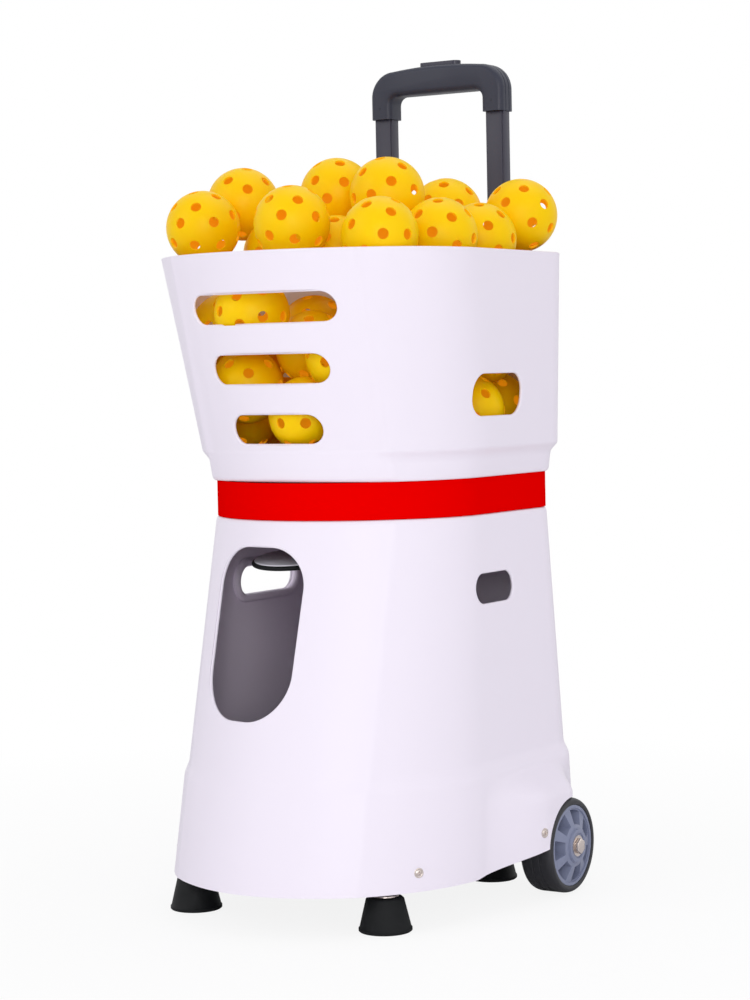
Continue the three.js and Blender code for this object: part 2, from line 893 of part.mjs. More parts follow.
function handleGrip() {
  const shape = new THREE.Shape();
  const r = gripRound;
  const half = gripHalf - r;
  const inner = sleeveInner + r;
  const low = sleeveLowZ + r;
  const top = gripTop - r;
  const under = gripUnder + r;
  const innerCorner = gripCorner / 2;
  shape.moveTo(-half, low);
  shape.lineTo(-inner, low);
  shape.lineTo(-inner, under - innerCorner);
  shape.absarc(innerCorner - inner, under - innerCorner, innerCorner, Math.PI, quarterTurn, true);
  shape.lineTo(inner - innerCorner, under);
  shape.absarc(inner - innerCorner, under - innerCorner, innerCorner, quarterTurn, 0, true);
  shape.lineTo(inner, low);
  shape.lineTo(half, low);
  shape.lineTo(half, top - gripCrown - gripCorner);
  shape.absarc(half - gripCorner, top - gripCrown - gripCorner, gripCorner, 0, quarterTurn);
  shape.quadraticCurveTo(0, top + gripCrown, gripCorner - half, top - gripCrown);
  shape.absarc(gripCorner - half, top - gripCrown - gripCorner, gripCorner, quarterTurn, Math.PI);
  const body = alongY(shape, gripDepth - 2 * r, {
    bevelEnabled: true,
    bevelSize: r,
    bevelThickness: r,
    bevelSegments: 2,
    curveSegments: 4,
  });
  const socketHeight = postTopZ + seatGap - sleeveLowZ + overrun;
  const sockets = [-postX, postX].map((x) =>
    moved(
      new THREE.BoxGeometry(
        handlePostWidth + 2 * seatGap,
        handlePostDepth + 2 * seatGap,
        socketHeight,
      ),
      x,
      0,
      postTopZ + seatGap - socketHeight / 2,
    ),
  );
  const pocket = moved(
    roundedBlock(releaseWidth + 2 * slideGap, releaseDepth + 2 * slideGap, gripCorner, releaseDepth / 2),
    0,
    0,
    releasePocketZ + gripCorner / 2,
  );
  return cut(body, pocket, ...sockets);
}

function releaseButton() {
  return roundedBlock(releaseWidth, releaseDepth, releaseHeight, releaseDepth / 2);
}

// Battery at the back of the base, panel with its controls on the rear wall
const batterySize = { width: 150, depth: 84, height: 73, round: 8 };
const batteryY = 111;
const panelDrop = 87.5;
const panelZ = housingHead.z - panelDrop;
const panelWidth = 84;
const panelHeight = 96;
const panelRear = 172;
const switchSize = { width: 24, depth: 8, height: 18 };
const switchZ = 26;
const controlButtonRadius = 7;
const controlButtonX = 18;
const controlButtonTravel = 2;
const controlButtonHeight = 6;
const socketRadius = 10;
const socketZ = -30;
const panelPocket = 6;
const panelCorner = 8;
const switchCorner = 2;
const socketStand = 3;
const socketFloor = 2;
const socketDepth = panelPocket - seatGap + socketStand;

function controlPanel() {
  const depth = panelRear - hopperRim.rear;
  const block = moved(
    alongY(roundedOutline(panelWidth, panelHeight, panelCorner), depth),
    0,
    panelRear - depth / 2,
    panelZ,
  );
  const pocketAt = (tool, x, z) => moved(tool, x, panelRear, panelZ + z);
  const switchPocket = roundedOutline(
    switchSize.width + turnGap,
    switchSize.height + turnGap,
    switchCorner,
  );
  const buttonPocket = () => barZ(controlButtonRadius + slideGap, 2 * panelPocket).rotateX(quarterTurn);
  const socketPocket = barZ(socketRadius + seatGap, 2 * panelPocket).rotateX(quarterTurn);
  return cut(
    block,
    loft(housingSections, -seatGap),
    pocketAt(alongY(switchPocket, 2 * panelPocket), 0, switchZ),
    pocketAt(buttonPocket(), -controlButtonX, 0),
    pocketAt(buttonPocket(), controlButtonX, 0),
    pocketAt(socketPocket, 0, socketZ),
  );
}

function powerSwitch() {
  const lean = 2.4;
  const shape = new THREE.Shape();
  const half = switchSize.height / 2;
  shape.moveTo(0, -half + lean);
  shape.lineTo(switchSize.depth / 2, -half);
  shape.lineTo(switchSize.depth / 2 - lean / 2, 0);
  shape.lineTo(switchSize.depth / 2 + lean / 2, half);
  shape.lineTo(0, half - lean);
  shape.absarc(0, 0, half / 4, quarterTurn, -quarterTurn);
  return alongX(shape, switchSize.width - turnGap);
}

function chargeSocket() {
  const bore = moved(barZ(socketRadius / 2, socketDepth), 0, 0, socketFloor);
  return cut(barZ(socketRadius, socketDepth), bore).rotateX(-quarterTurn);
}

// Loose balls heaped on the hopper: places in ball diameters from the middle of the rim
const heapShares = [
  [-1.59, -1.22, 0.42],
  [-1.59, -0.27, 0.78],
  [0.14, -1.64, 0.38],
  [-0.22, 0, 0.85],
  [0.81, -0.36, 0.78],
  [1.39, -1.49, 0.18],
  [1.69, -0.5, 0.19],
  [0.86, 1.08, 0.57],
  [1.69, 0.54, 0.17],
  [1.8, 1.5, 0.53],
  [-0.84, -0.47, 0.07],
  [-1.75, 0.8, 0.14],
  [0.18, -0.64, 0.03],
  [0.65, 0.26, 0.01],
  [-0.75, 0.6, 0.07],
  [0, 1.44, 0.04],
];

function addBalls(parent) {
  const diameter = 2 * ballRadius;
  heapShares.forEach(([across, back, above], i) => {
    const ball = piece(`ball_${i + 1}`, new THREE.IcosahedronGeometry(ballRadius, 2), ballYellow);
    ball.position.set(across * diameter, back * diameter, hopperRim.z + above * diameter);
    parent.add(ball);
  });
}

function addBody(parent) {
  parent.add(
    piece("housing_shell", housingShell(), shellWhite),
    piece("mouth_lining", mouthLining(), linerDark),
    piece("base_plate", basePlate(), innerGrey),
    piece("accent_band", hollow(bandSections, shellWall), bandRed),
    piece("hopper_shell", hopperShell(), shellWhite),
    piece("hopper_floor", hopperFloor(), innerGrey),
  );
  for (const [name, x, y] of footPlaces) {
    const rubber = piece(`foot_${name}`, foot(), rubberBlack);
    rubber.position.set(x, y, 0);
    parent.add(rubber);
  }
}

function addRoadWheels(parent) {
  for (const [name, side] of [
    ["left", -1],
    ["right", 1],
  ]) {
    const sided = (geometry) => (side < 0 ? mirrored(geometry) : geometry);
    const wheel = new THREE.Group();
    wheel.position.set(side * wheelX, wheelY, wheelRadius);
    wheel.add(
      piece(`wheel_tyre_${name}`, sided(roadTyre()), rubberBlack),
      piece(`wheel_hub_${name}`, sided(wheelHub()), hubGrey),
    );
    const bracket = piece(`axle_bracket_${name}`, sided(axleBracket()), steel);
    bracket.position.set(side * bracketX, wheelY, wheelRadius);
    parent.add(wheel, bracket);
  }
}

function addLauncher(parent) {
  const column = piece("turntable_column", turntableColumn(), innerGrey);
  column.position.set(launchX, yawY, plateTopZ + seatGap);
  const turntable = piece("yaw_turntable", yawTurntable(), innerGrey);
  turntable.position.set(launchX, yawY, turntableLowZ);
  const scoop = piece("ball_scoop", ballScoop(), linerDark);
  scoop.position.set(launchX, 0, 0);

  const cradle = new THREE.Group();
  cradle.position.set(launchX, pivotY, launchZ);
  const visor = piece("launcher_visor", launcherVisor(), paleGrey);
  visor.position.set(0, visorY - pivotY, visorZ - launchZ);
  visor.rotation.x = visorTilt;
  cradle.add(piece("launcher_cradle", launcherCradle(), wineRed), visor);
  for (const [name, side] of [
    ["upper", 1],
    ["lower", -1],
  ]) {
    const drive = new THREE.Group();
    drive.position.set(0, launchWheelY - pivotY, side * launchWheelRise);
    const rubber = tyre(
      launchWheelRadius,
      launchHubRadius + seatGap,
      launchWheelWidth,
      tyreRound,
      roundSteps,
    );
    const motor = piece(`launch_motor_${name}`, launchMotor(), steel);
    motor.position.set(cradleX + cradlePlate / 2 + seatGap, 0, 0);
    drive.add(
      piece(`launch_hub_${name}`, launchHub(), hubGrey),
      piece(`launch_tyre_${name}`, rubber, rubberBlack),
      motor,
    );
    cradle.add(drive);
  }
  parent.add(column, turntable, scoop, cradle);
}

function addFeed(parent) {
  const rotor = piece("feed_rotor", feedRotor(), wineRed);
  rotor.position.set(0, rotorY, deckTopZ + seatGap);
  const motor = piece("feed_motor", feedMotor(), steel);
  motor.position.set(0, rotorY, deckLowZ - seatGap);
  parent.add(piece("feed_deck", feedDeck(), innerGrey), rotor, motor);
}

function addHandle(parent) {
  const handle = new THREE.Group();
  handle.position.set(0, handleY, 0);
  for (const [name, side] of [
    ["left", -1],
    ["right", 1],
  ]) {
    const guide = piece(`handle_guide_${name}`, guideTube(), handleBlack);
    guide.position.set(side * postX, handleY, (guideLowZ + guideTopZ) / 2);
    const post = piece(`handle_post_${name}`, handlePost(), handleBlack);
    post.position.set(side * postX, 0, (handleLowZ + postTopZ) / 2);
    parent.add(guide);
    handle.add(post);
  }
  const button = piece("release_button", releaseButton(), handleBlack);
  button.position.set(0, 0, gripTop + releaseStand - releaseHeight / 2);
  handle.add(piece("handle_grip", handleGrip(), handleBlack), button);
  const lowBracketZ = 90;
  const highBracketZ = hopperNeck.z + seatGap + bracketHeight / 2;
  parent.add(
    handle,
    piece("guide_bracket_lower", guideBracket(lowBracketZ), handleBlack),
    piece("guide_bracket_upper", guideBracket(highBracketZ), handleBlack),
  );
}

function addPower(parent) {
  const battery = piece(
    "battery_pack",
    roundedBlock(batterySize.width, batterySize.depth, batterySize.height, batterySize.round),
    handleBlack,
  );
  battery.position.set(0, batteryY, plateTopZ + seatGap + batterySize.height / 2);
  const rocker = piece("power_switch", powerSwitch(), rubberBlack);
  rocker.position.set(0, panelRear - switchSize.depth / 4, panelZ + switchZ);
  const socket = piece("charge_socket", chargeSocket(), rubberBlack);
  socket.position.set(0, panelRear - panelPocket + seatGap + socketDepth / 2, panelZ + socketZ);
  parent.add(battery, piece("control_panel", controlPanel(), handleBlack), rocker, socket);
  for (const [name, side] of [
    ["left", -1],
    ["right", 1],
  ]) {
    const button = piece(
      `control_button_${name}`,
      barZ(controlButtonRadius, controlButtonHeight).rotateX(-quarterTurn),
      paleGrey,
    );
    const rest = panelRear - panelPocket + controlButtonTravel + turnGap;
    button.position.set(side * controlButtonX, rest + controlButtonHeight / 2, panelZ);
    parent.add(button);
  }
}

const machine = new THREE.Group();
machine.position.y = (housingFoot.nose - bracketRear) / 2;
addBody(machine);
addRoadWheels(machine);
addLauncher(machine);
addFeed(machine);
addHandle(machine);
addPower(machine);
addBalls(machine);

export default machine;
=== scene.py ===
import random
from math import atan2, copysign, cos, exp, hypot, pi, radians, sin, sqrt

import bmesh
import bpy
from mathutils import Matrix, Vector


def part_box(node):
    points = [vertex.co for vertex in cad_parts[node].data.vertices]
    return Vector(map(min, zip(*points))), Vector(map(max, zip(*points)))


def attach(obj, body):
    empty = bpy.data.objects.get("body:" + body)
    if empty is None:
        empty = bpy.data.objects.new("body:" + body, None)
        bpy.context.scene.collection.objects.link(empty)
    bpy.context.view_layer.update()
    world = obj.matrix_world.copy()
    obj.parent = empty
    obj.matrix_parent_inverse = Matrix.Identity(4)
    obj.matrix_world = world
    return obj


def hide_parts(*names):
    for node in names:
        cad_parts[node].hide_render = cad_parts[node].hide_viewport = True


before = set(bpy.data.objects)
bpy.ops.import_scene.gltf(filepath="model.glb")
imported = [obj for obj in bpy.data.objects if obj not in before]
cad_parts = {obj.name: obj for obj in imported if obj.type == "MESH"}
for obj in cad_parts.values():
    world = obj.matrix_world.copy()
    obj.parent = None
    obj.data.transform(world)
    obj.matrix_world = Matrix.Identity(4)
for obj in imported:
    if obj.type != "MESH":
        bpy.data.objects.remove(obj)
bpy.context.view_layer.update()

# Looks of the pickleball machine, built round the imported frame.
# Sizes are millimetres; meshes are scaled to metres as they are made.
MM = 0.001
FRONT_FOOT_Y = -138
RIGHT_ANGLE = pi / 2

# Degrees: the first rounds edges, the last joins flat faces, the others keep edges sharp
BEVEL_ANGLE = 30
SMOOTH_ANGLE = 35
ROUND_ANGLE = 40
CORD_ANGLE = 80
WHEEL_ANGLE = 30
GRIP_ANGLE = 32
FLAT_ANGLE = 0.5


def middle(node):
    low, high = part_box(node)
    return Vector([(a + b) / 2 / MM for a, b in zip(low, high)])


def extent(node):
    low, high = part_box(node)
    return Vector([a / MM for a in low]), Vector([b / MM for b in high])


# The body's own middle is this far back from the frame's origin
SHIFT_Y = middle("foot_front_left").y - FRONT_FOOT_Y


# Mesh making

def link(name, data):
    piece = bpy.data.objects.new(name, data)
    bpy.context.scene.collection.objects.link(piece)
    return piece


def make(name, points, faces):
    mesh = bpy.data.meshes.new(name)
    mesh.from_pydata([(x * MM, y * MM, z * MM) for x, y, z in points], [], faces)
    mesh.validate()
    return link(name, mesh)


def bake(piece):
    graph = bpy.context.evaluated_depsgraph_get()
    mesh = bpy.data.meshes.new_from_object(piece.evaluated_get(graph))
    piece.modifiers.clear()
    piece.data = mesh
    return piece


def recalc(piece):
    shape = bmesh.new()
    shape.from_mesh(piece.data)
    bmesh.ops.recalc_face_normals(shape, faces=shape.faces)
    shape.to_mesh(piece.data)
    shape.free()
    return piece


def cut(piece, tools):
    for tool in tools:
        step = piece.modifiers.new("step", "BOOLEAN")
        step.operation = "DIFFERENCE"
        step.solver = "EXACT"
        step.object = tool
    bpy.context.view_layer.update()
    bake(piece)
    for tool in tools:
        bpy.data.objects.remove(tool)
    return piece


def merged(pieces):
    shape = bmesh.new()
    for piece in pieces:
        shape.from_mesh(piece.data)
    first = pieces[0]
    shape.to_mesh(first.data)
    shape.free()
    for piece in pieces[1:]:
        bpy.data.objects.remove(piece)
    return first


def smooth(piece, angle=SMOOTH_ANGLE):
    """Smooth shading, with edges sharper than the angle (degrees) kept."""
    piece.data.shade_smooth()
    piece.data.set_sharp_from_angle(angle=radians(angle))
    return piece


def bevelled(piece, width, segments=3):
    edge = piece.modifiers.new("edge", "BEVEL")
    edge.width = width * MM
    edge.segments = segments
    edge.limit_method = "ANGLE"
    edge.angle_limit = radians(BEVEL_ANGLE)
    edge.use_clamp_overlap = True
    bake(piece)
    return smooth(piece, ROUND_ANGLE)


def finish_piece(piece, body, material, nodes=()):
    piece.data.materials.clear()
    piece.data.materials.append(material)
    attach(piece, body)
    if nodes:
        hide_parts(*nodes)
    return piece


# The least straight left between two rounded corners, and the distance at which points are one
LEAST = 0.01


def arc(centre, radius, start, end, steps):
    angles = [start + (end - start) * i / steps for i in range(steps + 1)]
    return [(centre[0] + radius * cos(a), centre[1] + radius * sin(a)) for a in angles]


def rounded_outline(width, height, radius, steps=10):
    w = width / 2
    h = height / 2
    r = min(radius, w - LEAST, h - LEAST)
    points = []
    for i, (across, up) in enumerate([(1, -1), (1, 1), (-1, 1), (-1, -1)]):
        start = -RIGHT_ANGLE + i * RIGHT_ANGLE
        points += arc((across * (w - r), up * (h - r)), r, start, start + RIGHT_ANGLE, steps)
    return points


def circle(radius, sides):
    return arc((0, 0), radius, 0, 2 * pi * (sides - 1) / sides, sides - 1)


AXES = {
    "X": lambda u, v, w: (w, u, v),
    "Y": lambda u, v, w: (u, -w, v),
    "Z": lambda u, v, w: (u, v, w),
}


def prism(name, outline, axis, centre, length):
    count = len(outline)
    place = AXES[axis]
    points = []
    for end in (-length / 2, length / 2):
        for u, v in outline:
            x, y, z = place(u, v, end)
            points.append((x + centre[0], y + centre[1], z + centre[2]))
    faces = [tuple(range(count - 1, -1, -1)), tuple(range(count, 2 * count))]
    for i in range(count):
        j = (i + 1) % count
        faces.append((i, j, count + j, count + i))
    return make(name, points, faces)


def revolved(name, profile, axis, centre, steps=64):
    """A closed profile of (radius, along) points turned round an axis."""
    place = AXES[axis]
    points = []
    rings = []
    for radius, along in profile:
        if radius == 0:
            rings.append([len(points)])
            points.append(place(0, 0, along))
            continue
        rings.append(list(range(len(points), len(points) + steps)))
        for i in range(steps):
            angle = 2 * pi * i / steps
            points.append(place(radius * cos(angle), radius * sin(angle), along))
    faces = []
    for low, high in zip(rings, rings[1:] + rings[:1]):
        if len(low) == 1 and len(high) == 1:
            continue
        for i in range(steps):
            j = (i + 1) % steps
            if len(low) == 1:
                faces.append((low[0], high[j], high[i]))
            elif len(high) == 1:
                faces.append((low[i], low[j], high[0]))
            else:
                faces.append((low[i], low[j], high[j], high[i]))
    moved = [(x + centre[0], y + centre[1], z + centre[2]) for x, y, z in points]
    return recalc(make(name, moved, faces))


# Along a steeper path than this the first ring is laid out from the x axis
STEEP = 0.9


def tube(name, path, radius, closed=True, sides=10):
    """A round cord of constant radius along a path of points."""
    path = [Vector(p) for p in path]
    count = len(path)
    points = []
    normal = None
    for i, place in enumerate(path):
        ahead = path[(i + 1) % count] if closed or i + 1 < count else place
        behind = path[i - 1] if closed or i > 0 else place
        along = (ahead - behind).normalized()
        if normal is None:
            guide = Vector((0, 0, 1)) if abs(along.z) < STEEP else Vector((1, 0, 0))
            normal = along.cross(guide).normalized()
        normal = (normal - along * normal.dot(along)).normalized()
        across = along.cross(normal)
        for k in range(sides):
            angle = 2 * pi * k / sides
            points.append(place + radius * (normal * cos(angle) + across * sin(angle)))
    faces = []
    for i in range(count if closed else count - 1):
        j = (i + 1) % count
        twist = 0
        if closed and j == 0:
            first = points[0]
            twist = min(range(sides), key=lambda k: (points[i * sides + k] - first).length)
        for k in range(sides):
            m = (k + 1) % sides
            a = i * sides + (k + twist) % sides
            b = i * sides + (m + twist) % sides
            faces.append((a, b, j * sides + m, j * sides + k))
    if not closed:
        faces.append(tuple(range(sides)))
        faces.append(tuple(range((count - 1) * sides, count * sides)))
    return recalc(make(name, [tuple(p) for p in points], faces))


# Body sections: bowed front, straight sides, rounded rear corners. Each has its half width, how far
# forward the nose stands and where the bow starts, the back, its corners and the bow's fullness.

KEYS = ("half", "nose", "shoulder", "rear", "corner", "power")
HOUSING_FOOT = dict(z=38, half=166, nose=216, shoulder=40, rear=170, corner=36, power=1.95)
HOUSING_HEAD = dict(z=387.5, half=144, nose=137, shoulder=5, rear=162, corner=36, power=1.9)
BAND_HEIGHT = 36
BAND_SINK = 0.4
BAND_EDGE = 0.8
SEAT_GAP = 0.3
BAND_LOW_Z = HOUSING_HEAD["z"] + SEAT_GAP
BAND_TOP_Z = BAND_LOW_Z + BAND_HEIGHT
HOPPER_NECK = dict(
    z=BAND_TOP_Z + SEAT_GAP, half=146.4, nose=134.6, shoulder=3, rear=162, corner=34, power=2
)
HOPPER_SEAT = dict(HOPPER_NECK, z=443.5, half=149, nose=138.5)
HOPPER_LEDGE = dict(HOPPER_SEAT, z=455, half=157.5, nose=140, shoulder=0, power=2.1)
HOPPER_RIM = dict(z=645, half=172, nose=186, shoulder=45, rear=150, corner=40, power=2.1)
SHELL_WALL = 3.5
BOW_STEPS = 64
SIDE_STEPS = 26
CORNER_STEPS = 8
LEAST_CORNER = 2


def lerp(a, b, share):
    return a + (b - a) * share


def ease(share):
    share = min(max(share, 0), 1)
    return share * share * (3 - 2 * share)


def section_between(lower, upper, z):
    share = (z - lower["z"]) / (upper["z"] - lower["z"])
    return dict({key: lerp(lower[key], upper[key], share) for key in KEYS}, z=z)


SKIRT_STEP = 5
SKIRT_TOP_Z = 131
SKIRT_STEP_HEIGHT = 16
FLARE_TOP_Z = 101
TUCK_HEIGHT = 5
TUCK_DEPTH = 2.2


def skirt_extra(z):
    """How far the side stands out from the plain taper: out below the step, in above it."""
    half_step = SKIRT_STEP / 2
    shoulder_z = SKIRT_TOP_Z + SKIRT_STEP_HEIGHT
    if z <= SKIRT_TOP_Z:
        return half_step * (z - HOUSING_FOOT["z"]) / (SKIRT_TOP_Z - HOUSING_FOOT["z"])
    if z <= shoulder_z:
        return half_step - SKIRT_STEP * ease((z - SKIRT_TOP_Z) / SKIRT_STEP_HEIGHT)
    return -half_step * (HOUSING_HEAD["z"] - z) / (HOUSING_HEAD["z"] - shoulder_z)


def flare_share(z):
    """The skirt's flare is full up to the top of the arch and gone at the skirt's top edge."""
    rise = min(max((z - FLARE_TOP_Z) / (SKIRT_TOP_Z - FLARE_TOP_Z), 0), 1)
    return (cos(RIGHT_ANGLE * rise) + 1 - ease(rise)) / 2


def tucked(section, distance):
    """The last few millimetres of a shell round inwards to its edge."""
    share = min(max(1 - distance / TUCK_HEIGHT, 0), 1)
    depth = TUCK_DEPTH * (1 - sqrt(1 - share * share))
    for key in ("half", "nose", "rear"):
        section[key] -= depth
    return section


def housing_section(z):
    section = section_between(HOUSING_FOOT, HOUSING_HEAD, z)
    section["half"] += skirt_extra(z)
    section["flare"] = flare_share(z) * (WHEEL_FACE - section["half"])
    return tucked(section, HOUSING_HEAD["z"] - z)


def hopper_section(z):
    if z <= HOPPER_SEAT["z"]:
        return tucked(section_between(HOPPER_NECK, HOPPER_SEAT, z), z - HOPPER_NECK["z"])
    if z <= HOPPER_LEDGE["z"]:
        share = ease((z - HOPPER_SEAT["z"]) / (HOPPER_LEDGE["z"] - HOPPER_SEAT["z"]))
        blend = lerp(HOPPER_SEAT["z"], HOPPER_LEDGE["z"], share)
        return dict(section_between(HOPPER_SEAT, HOPPER_LEDGE, blend), z=z)
    return section_between(HOPPER_LEDGE, HOPPER_RIM, z)


def hopper_front(z):
    """Between the creases the hopper's face runs straight down past the ledge."""
    section = hopper_section(z)
    plain = section_between(HOPPER_NECK, HOPPER_RIM, z)
    for key in ("half", "shoulder", "power"):
        section[key] = plain[key]
    return tucked(section, z - HOPPER_NECK["z"])


def band_section(z):
    sunk = {key: HOUSING_HEAD[key] - BAND_SINK for key in ("half", "nose", "rear")}
    return dict(HOUSING_HEAD, z=z, **sunk)


def flare_out(section, y):
    """How far the side stands out at y, to meet the road wheel's face."""
    start = -section["shoulder"]
    end = section["rear"] - section["corner"]
    front = WHEEL_Y - ARCH_RADIUS
    if y < front:
        along = (y - start) / (front - start)
    else:
        along = (end - y) / (end - WHEEL_Y)
    along = min(max(along, 0), 1)
    return section.get("flare", 0) * (along + ease(along)) / 2


def plan_ring(section, inset=0):
    """Points of a section from the left shoulder round the bow, then along the sides and back."""
    half = section["half"] - inset
    bow = section["nose"] - section["shoulder"] - inset
    rear = section["rear"] - inset
    corner = max(section["corner"] - inset, LEAST_CORNER)
    share = 2 / section["power"]
    ring = []
    for i in range(2 * BOW_STEPS + 1):
        angle = RIGHT_ANGLE * i / BOW_STEPS
        across = cos(angle)
        ahead = abs(sin(angle))
        x = -copysign(half * abs(across) ** share, across)
        ring.append((x, -section["shoulder"] - bow * ahead ** share))
    front = -section["shoulder"]
    back = rear - corner
    side = [lerp(front, back, (i + 1) / (SIDE_STEPS + 1)) for i in range(SIDE_STEPS)]
    ring += [(half + flare_out(section, y), y) for y in side]
    ring += arc((half - corner, back), corner, 0, RIGHT_ANGLE, CORNER_STEPS)
    ring += arc((corner - half, back), corner, RIGHT_ANGLE, pi, CORNER_STEPS)
    ring += [(-half - flare_out(section, y), y) for y in reversed(side)]
    return ring


def front_y(section, x, inset=0):
    """How far forward the bowed front stands at x, as a y from the body's middle."""
    half = section["half"] - inset
    bow = section["nose"] - section["shoulder"] - inset
    across = min(abs(x) / half, 1) ** (section["power"] / 2)
    ahead = sqrt(max(1 - across * across, 0))
    return -section["shoulder"] - bow * ahead ** (2 / section["power"])


def side_x(section, y, inset=0):
    """How far out the side stands at y."""
    half = section["half"] - inset
    if y >= -section["shoulder"]:
        return half + flare_out(section, y)
    bow = section["nose"] - section["shoulder"] - inset
    ahead = min((-y - section["shoulder"]) / bow, 1) ** (section["power"] / 2)
    across = sqrt(max(1 - ahead * ahead, 0))
    return half * across ** (2 / section["power"])


CREASE_X = 104
CREASE_FOLD = 2.4
CREASE_REACH = 34
RIDGE_HEIGHT = 1.0
RIDGE_WIDTH = 3.6
HOUSING_CREASE_SHARE = 0.5
BLEND_WIDTH = 10


def crease_push(x):
    """The bowed front and the sides meet in a soft fold with a fine ridge along it."""
    near = abs(abs(x) - CREASE_X)
    fold = CREASE_FOLD * max(1 - near / CREASE_REACH, 0)
    return fold + RIDGE_HEIGHT * exp(-((near / RIDGE_WIDTH) ** 2))


def blended_ring(section, front, inset=0):
    """A section whose face between the creases follows another section."""
    ring = plan_ring(section, inset)
    if front is None:
        return ring
    mixed = []
    for (x, y), (front_x, face_y) in zip(ring, plan_ring(front, inset)):
        share = ease((abs(x) - CREASE_X + BLEND_WIDTH) / (2 * BLEND_WIDTH))
        if y > 0:
            share = 1
        mixed.append((lerp(front_x, x, share), lerp(face_y, y, share)))
    return mixed


def shell(name, section_at, levels, wall, inset=0, crease=0, front_at=None):
    """A walled tube through the sections; crease raises the folds on the outer skin."""
    outer = []
    inner = []
    for z in levels:
        section = section_at(z)
        front = front_at(z) if front_at else None
        for x, y in blended_ring(section, front, inset):
            if y < -section["shoulder"]:
                way = Vector((x, y)).normalized() * crease * crease_push(x)
                x += way.x
                y += way.y
            outer.append((x, y + SHIFT_Y, z))
        inner += [(x, y + SHIFT_Y, z) for x, y in blended_ring(section, front, inset + wall)]
    count = len(outer) // len(levels)
    base = len(outer)
    faces = []
    for level in range(len(levels) - 1):
        for i in range(count):
            j = (i + 1) % count
            a, b = level * count + i, level * count + j
            faces.append((a, b, b + count, a + count))
            faces.append((base + b, base + a, base + a + count, base + b + count))
    top = (len(levels) - 1) * count
    for i in range(count):
        j = (i + 1) % count
        faces.append((j, i, base + i, base + j))
        faces.append((top + i, top + j, base + top + j, base + top + i))
    return make(name, outer + inner, faces)


def spread(*stops):
    """Levels through the stops: each stop is (z, steps to the next)."""
    levels = []
    for (low, steps), (high, _) in zip(stops, stops[1:]):
        levels += [lerp(low, high, i / steps) for i in range(steps)]
    return levels + [stops[-1][0]]


def front_path(outline, centre_x, centre_z, section_at, inset, crease=0):
    points = []
    for u, v in outline:
        x, z = centre_x + u, centre_z + v
        y = front_y(section_at(z), x, inset) - crease * crease_push(x)
        points.append((x, y + SHIFT_Y, z))
    return points


def side_path(outline, side, centre_y, centre_z, section_at, inset):
    points = []
    for u, v in outline:
        y, z = centre_y + u, centre_z + v
        points.append((side * side_x(section_at(z), y, inset), y + SHIFT_Y, z))
    return points


def ring_path(section, inset):
    return [(x, y + SHIFT_Y, section["z"]) for x, y in plan_ring(section, inset)]


# Materials: every one has its own grain, and roughness that varies a little

NOISE_SPAN = (0.3, 0.7)
DRIFT_SCALE = 5
SHEEN_SCALE = 18
GRAIN_DEPTH = 0.15
LINE_SCALE = 60
LINE_STRENGTH = 0.08
LINE_DEPTH = 0.05


def colour(code):
    """Six hexadecimal digits of a screen colour as linear light."""
    parts = [int(code[i : i + 2], 16) / 255 for i in (0, 2, 4)]
    return [c / 12.92 if c <= 0.04045 else ((c + 0.055) / 1.055) ** 2.4 for c in parts] + [1]


def add_node(nodes, kind, operation=None, **values):
    made = nodes.new("ShaderNode" + kind)
    if operation:
        made.operation = operation
    for key, value in values.items():
        made.inputs[key.replace("_", " ")].default_value = value
    return made


class Recipe:
    """Node tree of one material, with small helpers to add grain."""

    def __init__(self, name):
        self.material = bpy.data.materials.new(name)
        self.material.use_nodes = True
        self.nodes = self.material.node_tree.nodes
        self.links = self.material.node_tree.links
        self.shader = self.nodes["Principled BSDF"]
        self.place = self.nodes.new("ShaderNodeTexCoord").outputs["Object"]

    def noise(self, scale, detail=3):
        node = add_node(self.nodes, "TexNoise", Scale=scale, Detail=detail)
        self.links.new(self.place, node.inputs["Vector"])
        return node.outputs["Fac"]

    def rough(self, value, low, high):
        """Roughness from low to high as the noise goes over its usual span."""
        first, last = NOISE_SPAN
        limits = dict(From_Min=first, From_Max=last, To_Min=low, To_Max=high)
        node = add_node(self.nodes, "MapRange", **limits)
        self.links.new(value, node.inputs["Value"])
        self.links.new(node.outputs["Result"], self.shader.inputs["Roughness"])

    def tint(self, value, first, second):
        node = self.nodes.new("ShaderNodeMix")
        node.data_type = "RGBA"
        node.inputs["A"].default_value = colour(first)
        node.inputs["B"].default_value = colour(second)
        self.links.new(value, node.inputs["Factor"])
        self.links.new(node.outputs["Result"], self.shader.inputs["Base Color"])

    def bump(self, value, strength, distance=GRAIN_DEPTH):
        node = add_node(self.nodes, "Bump", Strength=strength, Distance=distance * MM)
        self.links.new(value, node.inputs["Height"])
        self.links.new(node.outputs["Normal"], self.shader.inputs["Normal"])

    def set(self, **values):
        for key, value in values.items():
            self.shader.inputs[key.replace("_", " ")].default_value = value


def moulded(name, base, second, roughness, grain_scale, grain, shine=0.5):
    """Moulded plastic: slow faint colour drift, fine grain, roughness that varies a little."""
    recipe = Recipe(name)
    recipe.tint(recipe.noise(DRIFT_SCALE, 1), base, second)
    recipe.rough(recipe.noise(SHEEN_SCALE, 1), *roughness)
    recipe.bump(recipe.noise(grain_scale, 2), grain)
    recipe.set(Specular_IOR_Level=shine)
    return recipe.material


